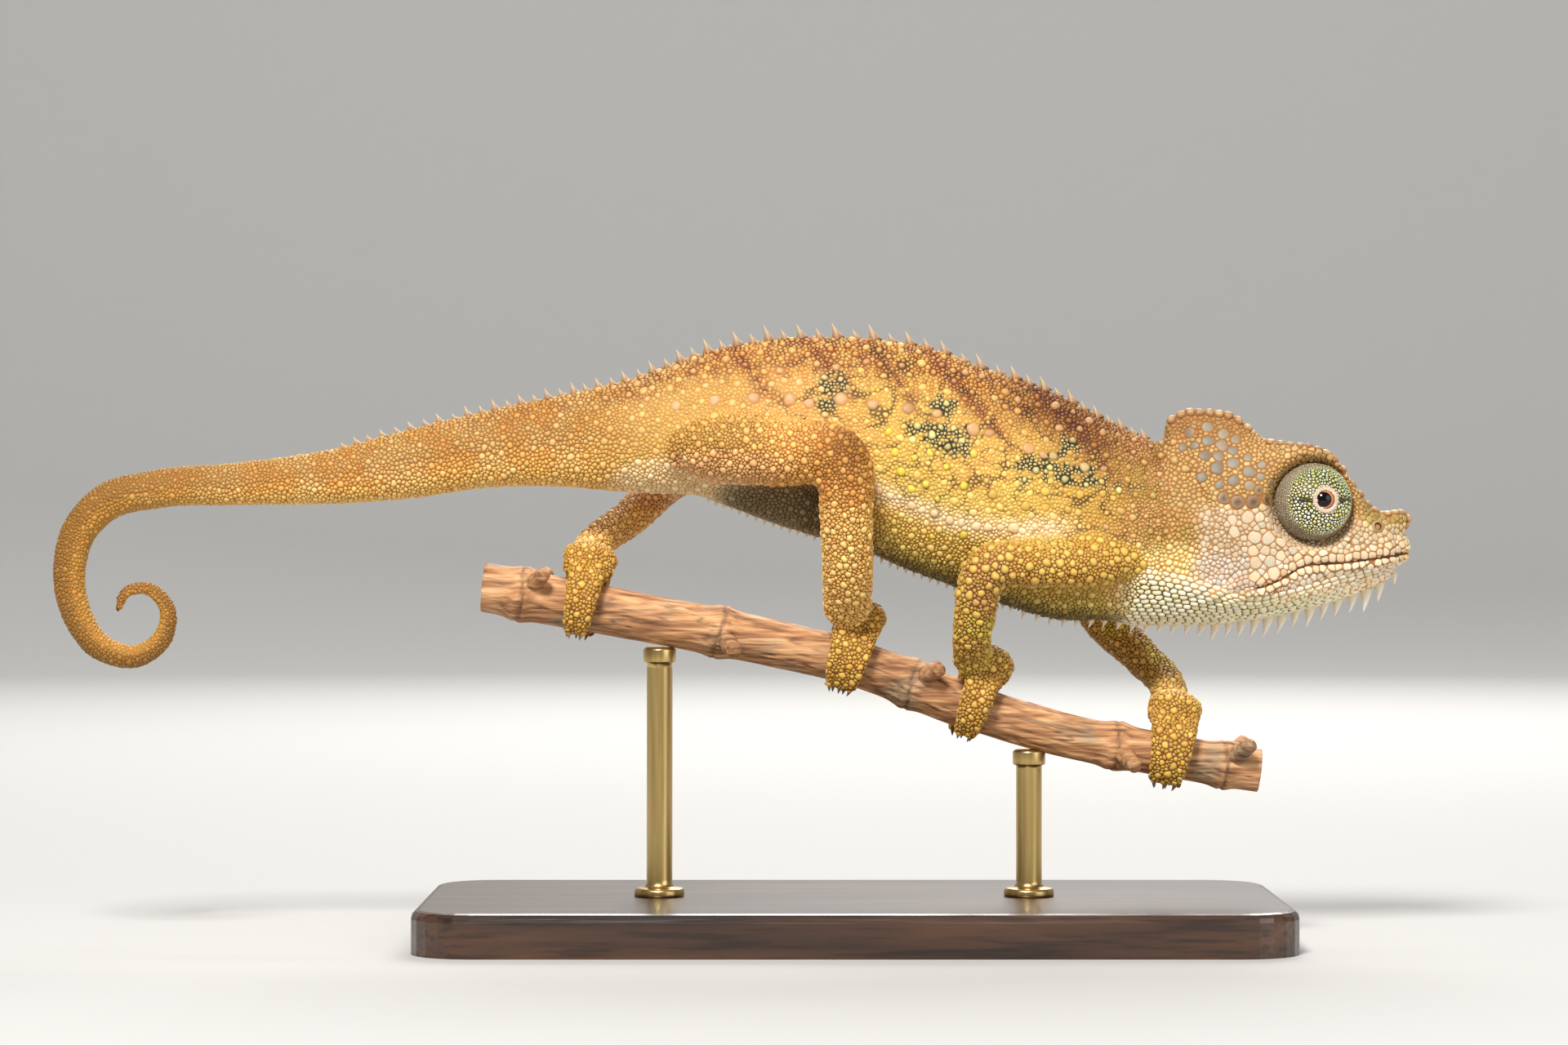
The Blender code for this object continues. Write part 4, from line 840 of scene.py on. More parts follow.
    def tints(self):
        """What the colours of each region are multiplied by, later rows over earlier ones, with painted shade
        under the belly and under the near thigh.
        """
        x, z, rise, near = self.x, self.z, self.rise, self.y < 0
        hind, fore, cheek, trunk_back = self.hind, self.fore, self.cheek, self.back * self.trunk
        tint = np.tile([0.93, 0.86, 0.56], (len(self.points), 1))
        for share, value in (
            (smoothstep(-8, -16, x) * self.trunk, (0.8, 0.76, 0.44)),
            (self.tail * smoothstep(-0.3, 0.3, rise), (0.76, 0.73, 0.39)),
            (self.tail * smoothstep(0.1, -0.5, rise), (1.16, 1.16, 0.74)),
            (trunk_back * smoothstep(-26, -12, x), (0.92, 0.81, 0.37)),
            (smoothstep(18, 27, x) * self.trunk, (0.78, 0.66, 0.38)),
            (trunk_back * smoothstep(12, 24, x), (0.42, 0.28, 0.06)),
            (self.upper_neck, (0.63, 0.53, 0.29)),
            (smoothstep(29, 33, x) * smoothstep(47, 44, z) * self.front_end, (1.04, 1.06, 0.76)),
            (self.belly * self.front * self.trunk, (0.98, 0.94, 0.44)),
            # The belly's underside is much darker: painted shade.
            (smoothstep(-0.84, -0.98, rise) * self.front * self.trunk, (0.25, 0.23, 0.07)),
            (self.upper, (0.88, 0.94, 0.72)),
            (cheek, (0.68, 0.67, 0.62)),
            (cheek * smoothstep(46, 43, z), (0.78, 0.86, 1.06)),
            (self.lips, (1.06, 1.06, 0.95)),
            (self.throat, (1.22, 1.24, 1.26)),
            (self.stripe, (1.03, 0.98, 1.05)),
            (hind, (1.12, 1.04, 0.61)),
            (hind * smoothstep(52, 49, z), (1.2, 1.22, 0.84)),
            (hind * smoothstep(-8, -13, x) * (z > 55), (0.78, 0.78, 0.41)),
            (fore, (0.92, 0.88, 0.5)),
            (fore * smoothstep(41, 38, z), (0.82, 0.86, 0.3)),
            (self.foot, (0.86, 0.79, 0.3)),
            (self.vent, (1.02, 1.02, 0.92)),
        ):
            tint = mix(tint, np.array(value), share)
        knee = bell((x + 0.2) / 3.8, (z - 57.0) / 3.6) * hind * near
        tint = tint * (1 - knee[:, None] * [0.55, 0.63, 0.88])
        # Painted shadow of the near thigh on the low flank and the groin.
        shade = smoothstep(-17, -13, x) * smoothstep(-0.5, -4, x) * smoothstep(54.0, 52.6, z)
        shade = shade * self.near_side * (hind < 0.5) * self.trunk
        tint = tint * (1 - 0.6 * shade[:, None])
        inner_thigh = spot(self.points, -16.0, 54.6, 9.0, 2.1) * hind * near
        tint = mix(tint, np.array([1.05, 1.02, 0.92]), inner_thigh * 0.9)
        elbow = bell((x - 15.0) / 3.4, (z - 42.5) / 3.0) * fore * near
        return tint * (1 - elbow[:, None] * [0.16, 0.26, 0.05])


def markings(points, part, legs, length, rise):
    """Scale colour, skin colour between the scales, how black the place is, and how dark its gaps are."""
    coat = Coat(points, part, legs, length, rise)
    coat.ground()
    coat.streaks()
    coat.pale_places()
    coat.tail_bands()
    coat.black_marks()
    coat.neck_and_throat()
    coat.head_colours()
    coat.leg_colours()
    tint = coat.tints()
    dark = np.maximum(np.maximum(coat.black, coat.streak), coat.crack * 0.6)
    return np.clip(coat.scale * tint, 0, 1), np.clip(coat.skin * tint, 0, 1), coat.black, dark


# Enlarged scales on each flank, by kind: x, z, radius. STRIPE_PLATES also carries the pale stripe.
FLANK_PLATES = [
    (-20.5, 62.0, 0.6), (-16.0, 62.6, 0.7), (-11.5, 62.9, 0.8), (-7.4, 62.6, 0.95), (-5.1, 62.2, 0.75),
    (-1.5, 62.7, 1.05), (2.2, 62.1, 0.88), (6.3, 61.6, 1.0), (9.6, 61.0, 0.9), (13.8, 59.3, 0.92),
    (15.7, 58.8, 0.66), (20.2, 57.0, 0.8), (21.8, 56.3, 0.6), (23.0, 56.2, 0.66), (26.6, 54.9, 0.8),
    (28.9, 54.7, 0.55),
]
BACK_PLATES = [
    (10.2, 66.7, 0.6), (13.0, 65.8, 0.64), (14.9, 65.4, 0.5), (11.6, 64.8, 0.5), (23.4, 62.0, 0.64),
    (25.5, 61.3, 0.5), (27.4, 60.3, 0.56), (23.8, 59.4, 0.6), (26.2, 59.3, 0.5), (28.9, 58.9, 0.5),
    (-2.0, 66.4, 0.5), (-8.5, 66.0, 0.55), (1.5, 67.0, 0.5), (5.6, 66.6, 0.5), (19.0, 62.6, 0.5),
]
GREEN_SPOTS = [
    (6.8, 58.0, 0.5), (9.0, 58.5, 0.5), (10.8, 57.2, 0.54), (7.3, 59.6, 0.46), (10.7, 62.2, 0.42),
    (10.0, 59.4, 0.4), (11.5, 59.3, 0.42), (12.4, 57.9, 0.36), (20.9, 54.5, 0.58), (24.3, 53.5, 0.6),
    (22.6, 54.8, 0.4), (26.8, 52.8, 0.4), (19.6, 53.4, 0.36), (30.6, 52.2, 0.5),
]
YELLOW_SPOTS = [
    (4.7, 56.5, 0.5), (6.9, 55.9, 0.4), (5.4, 54.3, 0.5), (8.3, 52.9, 0.68), (6.6, 52.3, 0.4),
    (9.6, 51.2, 0.45), (12.6, 52.7, 0.64), (10.6, 54.9, 0.48), (8.7, 56.5, 0.38), (13.8, 56.4, 0.52),
    (16.0, 51.7, 0.56), (19.7, 50.3, 0.5), (22.0, 52.1, 0.52), (22.0, 50.2, 0.46), (16.4, 54.9, 0.4),
    (28.7, 51.8, 0.46), (26.0, 51.7, 0.46), (4.0, 58.9, 0.36), (12.6, 47.0, 0.4), (9.0, 46.9, 0.36),
    (24.6, 50.0, 0.42),
]
STRIPE_PLATES = [
    (2.9, 52.2, 0.46), (4.2, 51.5, 0.41), (6.6, 50.4, 0.5), (7.8, 49.9, 0.36), (9.3, 49.5, 0.66),
    (11.0, 48.7, 0.5), (12.4, 48.5, 0.41), (14.1, 48.1, 0.61), (15.4, 47.9, 0.5), (16.9, 47.9, 0.36),
    (18.3, 47.8, 0.7), (19.4, 47.5, 0.36), (20.8, 48.0, 0.32), (22.2, 47.9, 0.36), (29.0, 48.0, 0.3),
]
FLANK_STRIPE = [(x, z) for x, z, _ in STRIPE_PLATES]
# Plates on each side of the casque, the dark-centred row under them, and the cheek: x, z, radius.
CASQUE_PLATES = [
    (41.1, 59.6, 0.62), (42.9, 58.8, 0.66), (41.1, 57.9, 0.74), (42.7, 57.4, 0.66), (44.4, 58.1, 0.58),
    (39.0, 58.9, 0.66), (40.6, 56.2, 0.70), (42.2, 56.1, 0.56), (43.9, 56.8, 0.54), (41.9, 54.7, 0.84),
    (43.8, 55.3, 0.76), (45.6, 54.3, 0.74), (43.8, 53.3, 0.74), (40.2, 53.7, 0.64), (45.6, 52.7, 0.56),
    (42.2, 52.8, 0.52), (39.5, 57.4, 0.46), (45.6, 56.0, 0.52), (47.1, 55.1, 0.50), (48.0, 53.1, 0.42),
    (47.0, 53.7, 0.40), (38.2, 57.2, 0.44),
]
DARK_PLATES = [
    (42.6, 51.3, 0.80), (44.2, 50.9, 0.84), (46.0, 50.9, 0.74), (47.5, 51.1, 0.58), (46.7, 52.2, 0.48),
]
CHEEK_PLATES = [
    (43.6, 48.8, 0.52), (45.3, 49.0, 0.70), (46.8, 49.1, 0.54), (48.1, 48.8, 0.50), (48.8, 47.7, 0.56),
    (43.8, 47.3, 0.56), (46.1, 46.8, 0.76), (47.7, 46.7, 0.66), (49.2, 46.2, 0.54), (46.0, 45.3, 0.52),
    (47.3, 45.2, 0.50), (49.2, 44.6, 0.52), (47.9, 43.9, 0.60), (46.3, 43.9, 0.54), (48.4, 42.6, 0.80),
    (46.2, 42.2, 0.60), (50.6, 45.3, 0.50),
]


def cell_of(place):
    return tuple(math.floor(value / CELL) for value in place)


def is_clear(grid, place, size, is_large, gap):
    """Whether a new scale keeps off all the scales in the grid's cells round it."""
    x, y, z = place
    i, j, k = cell_of(place)
    for u, v, w in CELLS_AROUND[is_large]:
        for other_x, other_y, other_z, other in grid.get((i + u, j + v, k + w), ()):
            reach = (size + other) * KEEP_OFF[is_large] + gap * is_large
            if (x - other_x) ** 2 + (y - other_y) ** 2 + (z - other_z) ** 2 < reach * reach:
                return False
    return True


class Scales:
    """The places, sizes and kinds of scales on one surface."""

    def __init__(self, surface, seed):
        self.surface = surface
        self.rng = np.random.default_rng(seed)
        corners = surface.points[surface.triangles]
        across = np.cross(corners[:, 1] - corners[:, 0], corners[:, 2] - corners[:, 0])
        self.areas = np.linalg.norm(across, axis=1) / 2
        self.places, self.sizes, self.kinds = [], [], []
        self.stretch, self.headings = [], []

    def add(self, place, size, kind, stretch=1.0, heading=(1, 0, 0)):
        self.places.append(tuple(place))
        self.sizes.append(size)
        self.kinds.append(kind)
        self.stretch.append(stretch)
        self.headings.append(heading)

    def pin(self, place, size, kind, stretch=1.0, heading=(1, 0, 0)):
        """Sets a scale on the surface nearest to a place, unless another one is there."""
        hit = tuple(self.surface.tree.find_nearest(Vector(place))[0])
        if self.is_free(hit, size):
            self.add(hit, size, kind, stretch, heading)

    def pin_from_side(self, x, z, side, size, kind):
        hit = self.surface.tree.ray_cast(Vector((x, 30 * side, z)), Vector((0, -side, 0)))
        if hit[0] is not None and self.is_free(hit[0], size):
            self.add(hit[0], size, kind)

    def is_free(self, place, size):
        if not self.places:
            return True
        away = np.linalg.norm(np.array(self.places) - np.array(place), axis=1)
        return bool((away > (size + np.array(self.sizes)) * PINNED_KEEP_OFF).all())

    def samples(self, count):
        """Random places spread evenly over the surface."""
        surface, rng = self.surface, self.rng
        index = rng.choice(len(self.areas), count, p=self.areas / self.areas.sum())
        a, b = rng.random(count), rng.random(count)
        a, b = np.where(a + b > 1, 1 - a, a), np.where(a + b > 1, 1 - b, b)
        weights = np.column_stack([1 - a - b, a, b])
        return surface.spread(surface.points, index, weights), index, weights

    def candidates(self, size_at, smallest, large_at):
        """Random places, enlarged scales first: place, size, whether enlarged, and clear ground asked for."""
        rng = self.rng
        points, index, weights = self.samples(int(self.areas.sum() * (TRIES / (smallest * smallest))))
        count = len(points)
        sizes = size_at(points, index, weights) * rng.uniform(0.74, 1.24, count)
        large, gaps = np.zeros(count, bool), np.zeros(count)
        if large_at is not None:
            chance, big, gaps = large_at(points, index, weights)
            large = rng.random(count) < chance
            sizes = np.where(large, big * rng.uniform(0.72, 1.2, count), sizes)
            gaps = gaps * rng.uniform(0.4, 1.6, count)
        order = np.argsort(~large, kind="stable")
        return zip(*(values[order].tolist() for values in (points, sizes, large, gaps)))

    def fill(self, size_at, smallest, large_at=None):
        """Covers what is left of the surface: enlarged scales first, then small ones between them."""
        grid = {}
        for place, size, stretch, heading in zip(self.places, self.sizes, self.stretch, self.headings):
            shift = (stretch - 1) * size
            for step in (-shift, 0, shift) if shift > 0.02 else (0,):
                middle = tuple(p + h * step for p, h in zip(place, heading))
                grid.setdefault(cell_of(middle), []).append((*middle, size))
        for place, size, is_large, gap in self.candidates(size_at, smallest, large_at):
            if is_clear(grid, place, size, is_large, gap):
                grid.setdefault(cell_of(place), []).append((*place, size))
                self.add(place, size, "tubercle" if is_large else "granule")

    def relax(self, pinned, times):
        """Evens out the spacing: each free scale moves to the middle of the ground it holds."""
        samples, _, _ = self.samples(len(self.places) * 8)
        places, sizes = np.array(self.places), np.array(self.sizes)
        listed = samples.tolist()
        for _ in range(times):
            tree = search_tree(places)
            owner = np.empty(len(listed), int)
            for n, sample in enumerate(listed):
                owner[n] = min((away / sizes[i], i) for _, i, away in tree.find_n(sample, 3))[1]
            held = np.bincount(owner, minlength=len(places))
            sums = np.stack([np.bincount(owner, samples[:, c], len(places)) for c in range(3)], axis=1)
            moved = sums / np.maximum(held, 1)[:, None]
            free = (held > 2) & (np.arange(len(places)) >= pinned)
            places[free] = places[free] * 0.25 + moved[free] * 0.75
        self.places = places

    def settle(self):
        """Puts every scale back on the surface and measures how far off its neighbours are."""
        surface = self.surface
        self.sizes, self.kinds = np.array(self.sizes), np.array(self.kinds)
        self.places, self.index, self.weights = surface.nearest(np.array(self.places))
        self.normals = unit(surface.spread(surface.normals, self.index, self.weights))
        helper = np.where(np.abs(self.normals[:, 2:]) < 0.9, [[0.0, 0, 1]], [[1.0, 0, 0]])
        self.long = np.array(self.stretch)[:, None]
        headings = np.array(self.headings, float)
        across = np.where(self.long > 1.01, headings, np.cross(helper, self.normals))
        across = across - self.normals * (across * self.normals).sum(1)[:, None]
        self.across = unit(across)
        self.over = np.cross(self.normals, self.across)
        tree = search_tree(self.places)
        found = [tree.find_n(place, NEIGHBOURS + 1)[1:] for place in self.places.tolist()]
        around = np.array([[i for _, i, _ in neighbours] for neighbours in found])
        offset = self.places[around] - self.places[:, None]
        self.flat_x = (offset * self.across[:, None]).sum(2) / self.long
        self.flat_y = (offset * self.over[:, None]).sum(2)
        self.apart = np.maximum(np.hypot(self.flat_x, self.flat_y), 1e-6)
        self.facing = (self.normals[around] * self.normals[:, None]).sum(2) > 0.1
        share = self.sizes[:, None] / (self.sizes[:, None] + self.sizes[around])
        self.limit = self.apart * share
        self.turn = self.rng.random(len(self.places))[:, None] * 2 * np.pi

    def outline(self, chosen, sides):
        """How far each chosen scale reaches on each side, as arrows in space, and the sides' turns."""
        turns = self.turn[chosen] + np.arange(sides) * 2 * np.pi / sides
        cosine, sine = np.cos(turns), np.sin(turns)
        flat_x, flat_y = self.flat_x[chosen, None], self.flat_y[chosen, None]
        toward = (flat_x * cosine[:, :, None] + flat_y * sine[:, :, None]) / self.apart[chosen, None]
        clear = (toward > 0.08) & self.facing[chosen, None]
        reach = np.where(clear, self.limit[chosen, None] / np.maximum(toward, 0.08), 9.0).min(2)
        size = self.sizes[chosen, None]
        reach = np.clip(np.minimum(reach, size * 1.45) - GROOVE, size * 0.35, None)
        arrows = self.across[chosen, None] * (reach * cosine * self.long[chosen])[..., None]
        arrows = arrows + self.over[chosen, None] * (reach * sine)[..., None]
        own, opening = mouth_gap(self.places[chosen])
        near = (np.abs(own) < 0.9) & (opening > 0.3)
        corners = self.places[chosen[near], None] + arrows[near]
        side = np.sign(own[near])[:, None]
        height = mouth_gap(corners.reshape(-1, 3))[0].reshape(corners.shape[:2])
        arrows[near, :, 2] += side * np.maximum(HALF_MOUTH - side * height, 0)
        return arrows, turns


# Each kind of scale: its height against its size, then its rings as shares of reach and of height,
# with how much of the scale's own colour, rather than its edge's, each ring has.
PROFILES = {
    "granule": (0.56, [(1.0, -0.45, 0.0), (0.82, 0.68, 0.8)]),
    "cone": (1.3, [(1.0, -0.25, 0.0), (0.45, 0.5, 0.8)]),
    "tubercle": (0.52, [(1.0, -0.3, 0.0), (0.88, 0.38, 0.5), (0.54, 0.86, 0.95)]),
    "bead": (0.72, [(1.0, -0.3, 0.0), (0.9, 0.42, 0.55), (0.56, 0.88, 0.95)]),
    "plate": (0.13, [(1.0, -0.9, 0.0), (0.93, 0.6, 0.6), (0.76, 0.95, 1.0)]),
    "pillow": (0.32, [(1.0, -0.6, 0.0), (0.92, 0.5, 0.75), (0.66, 0.9, 1.0)]),
    "mound": (0.2, [(1.0, -0.5, 0.0), (0.86, 0.5, 0.7), (0.52, 0.88, 1.0)]),
    "sausage": (0.62, [(1.0, -0.35, 0.0), (0.86, 0.45, 0.75), (0.5, 0.9, 1.0)]),
}
SMALL_KINDS = ("granule", "cone")
# The profile of each kind that has a name for its colour.
PROFILE_OF = {
    "casque": "plate", "dark": "plate", "cheek": "plate", "nostril": "plate", "lip": "pillow",
    "ridge": "bead", "flank": "mound", "throat": "sausage", "stripe": "tubercle", "yellow": "tubercle",
    "green": "tubercle", "back": "tubercle",
}
PATCH = 0.003  # a scale's patch on the unwrap


def scale_shapes(scales, chosen, sides):
    """Corners, faces, colours and unwrap patches of the chosen scales, all with as many rings."""
    count = len(chosen)
    rings = np.array([PROFILES[kind][1] for kind in scales.kinds[chosen]]).reshape(count, -1, 3)
    ring_count = rings.shape[1]
    corners = ring_count * sides + 1
    points, colours = np.empty((count, corners, 3)), np.empty((count, corners, 3))
    patches = np.empty((count, corners, 2))
    arrows, turns = scales.outline(chosen, sides)
    spoke = np.stack([np.cos(turns), np.sin(turns)], axis=-1)
    place, normal, height = scales.places[chosen], scales.normals[chosen], scales.heights[chosen]
    for i in range(ring_count):
        share, lift, tone = rings[:, i].T
        part = slice(i * sides, (i + 1) * sides)
        raised = (normal * (height * lift)[:, None])[:, None]
        points[:, part] = place[:, None] + arrows * share[:, None, None] + raised
        colours[:, part] = mix(scales.rim[chosen], scales.centre[chosen], tone)[:, None]
        patches[:, part] = scales.roots[chosen][:, None] + spoke * PATCH / 2 * share[:, None, None]
    points[:, -1] = place + normal * height[:, None]
    colours[:, -1] = scales.core[chosen]
    patches[:, -1] = scales.roots[chosen]
    j = np.arange(sides)
    k = (j + 1) % sides
    band = np.column_stack([j, k, k + sides, j + sides])
    quads = np.concatenate([band + i * sides for i in range(ring_count - 1)])
    last = (ring_count - 1) * sides
    tips = np.column_stack([j + last, k + last, np.full(sides, corners - 1)])
    base = (np.arange(count) * corners)[:, None, None]
    return (points.reshape(-1, 3), (quads[None] + base).reshape(-1, 4), (tips[None] + base).reshape(-1, 3),
            colours.reshape(-1, 3), patches.reshape(-1, 2))


def scale_mesh(name, scales, chosen):
    """One mesh of the chosen scales, with a colour at each corner and their patches on the unwrap."""
    is_small = np.isin(scales.kinds[chosen], SMALL_KINDS)
    made = [scale_shapes(scales, part, sides)
            for part, sides in ((chosen[is_small], 8), (chosen[~is_small], 12)) if len(part)]
    starts = np.cumsum([0] + [len(shape[0]) for shape in made])
    points, colours, patches = (np.concatenate([shape[i] for shape in made]) for i in (0, 3, 4))
    faces = [(shape[i] + start, 5 - i) for shape, start in zip(made, starts) for i in (1, 2)]
    loops = np.concatenate([corners.ravel() for corners, _ in faces])
    sizes = np.concatenate([np.full(len(corners), size) for corners, size in faces])
    mesh = bpy.data.meshes.new(name)
    mesh.vertices.add(len(points))
    mesh.vertices.foreach_set("co", (points * MM).ravel())
    mesh.loops.add(len(loops))
    mesh.loops.foreach_set("vertex_index", loops)
    mesh.polygons.add(len(sizes))
    mesh.polygons.foreach_set("loop_start", np.concatenate([[0], np.cumsum(sizes)[:-1]]))
    mesh.update(calc_edges=True)
    obj = new_object(name, mesh)
    paint(obj, colours)
    layer = mesh.uv_layers.new(name="OFBake")
    layer.data.foreach_set("uv", patches[loops].ravel())
    print(name, len(chosen), "scales", int((sizes - 2).sum()), "triangles")
    return obj


def nodes_of(name, settings=None):
    """A new material, its node tree, and its shader with numbers set on its own sockets."""
    material = bpy.data.materials.new(name)
    material.use_nodes = True
    tree = material.node_tree
    shader = tree.nodes["Principled BSDF"]
    for socket, value in (settings or {}).items():
        shader.inputs[socket].default_value = value
    return material, tree, shader


def add_node(tree, kind, **inputs):
    node = tree.nodes.new(kind)
    for key, value in inputs.items():
        if key in node.inputs:
            node.inputs[key].default_value = value
        else:
            setattr(node, key, value)
    return node


def object_noise(tree, size, detail=3.0, stretch=None):
    """Noise in lumps of about a size in metres, fixed to the model."""
    where = tree.nodes.new("ShaderNodeTexCoord").outputs["Object"]
    if stretch:
        mapping = add_node(tree, "ShaderNodeMapping")
        mapping.inputs["Scale"].default_value = stretch
        tree.links.new(where, mapping.inputs["Vector"])
        where = mapping.outputs["Vector"]
    made = add_node(tree, "ShaderNodeTexNoise", Scale=1 / size, Detail=detail)
    tree.links.new(where, made.inputs["Vector"])
    return made.outputs["Fac"]


def ramp(tree, value, stops):
    made = tree.nodes.new("ShaderNodeValToRGB")
    elements = made.color_ramp.elements
    while len(elements) < len(stops):
        elements.new(0.5)
    for element, (place, colour) in zip(elements, stops):
        element.position = place
        element.color = (*colour, 1)
    tree.links.new(value, made.inputs["Fac"])
    return made.outputs["Color"]


def blend(tree, mode, share, first, second):
    made = tree.nodes.new("ShaderNodeMix")
    made.data_type = "RGBA"
    made.blend_type = mode
    for socket, value in ((made.inputs[0], share), (made.inputs[6], first), (made.inputs[7], second)):
        if isinstance(value, bpy.types.NodeSocket):
            tree.links.new(value, socket)
        elif isinstance(value, (int, float)):
            socket.default_value = value
        else:
            socket.default_value = (*value, 1)
    return made.outputs[2]


def bumped(tree, shader, height, distance):
    made = add_node(tree, "ShaderNodeBump", Strength=1.0, Distance=distance)
    tree.links.new(height, made.inputs["Height"])
    tree.links.new(made.outputs["Normal"], shader.inputs["Normal"])


def scaly_material(name, roughness, mottle, bump):
    """A scale's own colour, mottled and finely pitted."""
    material, tree, shader = nodes_of(name)
    hue = add_node(tree, "ShaderNodeAttribute", attribute_name="hue").outputs["Color"]
    fine = object_noise(tree, 0.00022)
    soft = object_noise(tree, 0.0011, 2.0)
    tint = ramp(tree, fine, [(0.25, (1 - mottle,) * 3), (0.75, (1 + mottle * 0.6,) * 3)])
    colour = blend(tree, "MULTIPLY", 1.0, hue, tint)
    warm = ramp(tree, soft, [(0.35, (1.04, 0.97, 0.9)), (0.65, (0.97, 1.02, 1.05))])
    colour = blend(tree, "MULTIPLY", 0.8, colour, warm)
    tree.links.new(colour, shader.inputs["Base Color"])
    rough = tree.nodes.new("ShaderNodeMapRange")
    rough.inputs["To Min"].default_value = roughness - 0.1
    rough.inputs["To Max"].default_value = roughness + 0.12
    tree.links.new(fine, rough.inputs["Value"])
    tree.links.new(rough.outputs["Result"], shader.inputs["Roughness"])
    bumped(tree, shader, fine, bump)
    return material


def dress(obj, slot, material, replaced=()):
    """Gives a piece its material and body, and says which nodes it replaces; its slot is not used."""
    obj.data.materials.clear()
    obj.data.materials.append(material)
    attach(obj, "root")
    if replaced:
        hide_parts(*replaced)


def unwrap(obj):
    """Adds the OFBake map: the mesh opened out flat in islands."""
    obj.data.uv_layers.new(name="OFBake")
    bpy.context.view_layer.objects.active = obj
    obj.select_set(True)
    bpy.ops.object.mode_set(mode="EDIT")
    bpy.ops.mesh.select_all(action="SELECT")
    bpy.ops.uv.smart_project(angle_limit=math.radians(66), island_margin=0.0005)
    bpy.ops.object.mode_set(mode="OBJECT")
    obj.select_set(False)
    flat = np.empty(len(obj.data.loops) * 2)
    obj.data.uv_layers["OFBake"].data.foreach_get("uv", flat)
    return flat.reshape(-1, 2)


def unwrap_places(surface, flat, scales):
    """Where each scale's root falls on the unwrap of its surface."""
    starts = np.cumsum([0] + [len(face) for face in surface.faces])
    corner_loops = []
    for start, face in zip(starts, surface.faces):
        corner_loops += [(start, start + i, start + i + 1) for i in range(1, len(face) - 1)]
    corner_loops = np.array(corner_loops)[scales.index]
    return sum(flat[corner_loops[:, i]] * scales.weights[:, i : i + 1] for i in range(3))


def skin_sizes(surface):
    """Radius of the small scales at every corner of the skin."""
    x, y, z = surface.points.T
    part = surface.shares.argmax(1)
    size = np.interp(x, [-90, -60, -30, -10, 10, 30, 36], [0.2, 0.21, 0.22, 0.22, 0.21, 0.2, 0.19])
    size = np.where((part == TRUNK_PART) & (surface.length > 128), 0.19, size)
    size = np.where((surface.rise > 0.75) & (x > -40), size * 1.1, size)
    near_eye = eye_axis_distance(surface.points) < TURRET_RADIUS + 0.5
    head = part == HEAD_PART
    for members, radius in (
        (part > HEAD_PART, 0.2),
        (head, 0.37),
        (head & (x < curve(FINE_EDGE, z)[:, 0]), 0.21),
        (head & (x < 50) & (z > 51.5), 0.25),
        (head & (x < 45.5) & (z < 51.5), 0.27),
        (head & (x > 57), 0.32),
        (head & (z < 42), 0.28),
        (head & near_eye & (np.abs(y) > 2.5), 0.2),
    ):
        size = np.where(members, radius, size)
    return surface.blur(size, 5) * COARSER


def large_scales(surface, part):
    """Chance, radius and clear ground of enlarged scales, as a function of places on the skin."""
    x, _, z = surface.points.T
    chance = np.where((part == HEAD_PART) & (x > 41), 0.0, 0.06)
    radius = np.interp(x, [-90, -60, -30, -10, 30, 36], [0.25, 0.3, 0.36, 0.42, 0.4, 0.34])
    clear = np.interp(x, [-90, -60, -30, -15, 0, 28, 36], [0.3, 0.4, 0.5, 0.7, 0.75, 0.7, 0.8])
    radius = np.where((surface.rise > 0.6) & (x > -30), 0.52, radius)
    for members, own_radius, own_clear in (
        ((surface.rise < -0.45) & (x > -10), 0.38, 0.45),
        (part > HEAD_PART, 0.4, 0.2),
        ((part == FORE_PART) & (z > 39.5), 0.5, 0.1),
    ):
        radius, clear = np.where(members, own_radius, radius), np.where(members, own_clear, clear)
    keys = np.column_stack([chance, radius * COARSER_LARGE, clear])
    return lambda points, index, weights: surface.spread(keys, index, weights).T


def pin_head(scales):
    """Plates of the casque and cheeks, nostrils, lip scales, the crests' ridges and the snout."""
    for side in (-1, 1):
        for plates, kind in ((CASQUE_PLATES, "casque"), (DARK_PLATES, "dark"), (CHEEK_PLATES, "cheek")):
            for x, z, size in plates:
                scales.pin_from_side(x, z, side, size * 1.1, kind)
        scales.pin((NOSTRIL[0], NOSTRIL[1] * side, NOSTRIL[2]), NOSTRIL_PLATE, "nostril")
        for height, first, step, size in ((0.36, 46.9, 0.94, 0.48), (-0.36, 47.0, 0.92, 0.48),
                                          (1.28, 50.2, 1.0, 0.5), (-1.24, 48.4, 0.92, 0.46)):
            for x in np.arange(first, 64.6, step):
                y, z = curve(MOUTH_LINE, x)[0]
                if z + height < curve(KEEL_LINE, x)[0, 1] + 0.7:
                    continue
                scales.pin((x, y * side + 0.6 * side, z + height), size, "lip")
        for first, last, step, size in ((36.9, 46.4, 1.14, 0.6), (48.4, 57.6, 1.08, 0.54),
                                        (58.2, 63.2, 0.95, 0.46)):
            for x in np.arange(first, last, step):
                y, z = curve(CREST_LINE, x)[0]
                scales.pin((x, y * side, z + 0.3), size, "ridge")
        pin_throat(scales, side)
    for x, z, size in SNOUT_TIP:
        for side in (-1, 1):
            scales.pin((x, 0.75 * side, z), size, "ridge")
    for x in np.arange(47.0, 62.4, 0.98):
        z = curve(TOP_LINE, x)[0, 1]
        scales.pin((x, 0, z + 0.3), 0.48, "ridge")


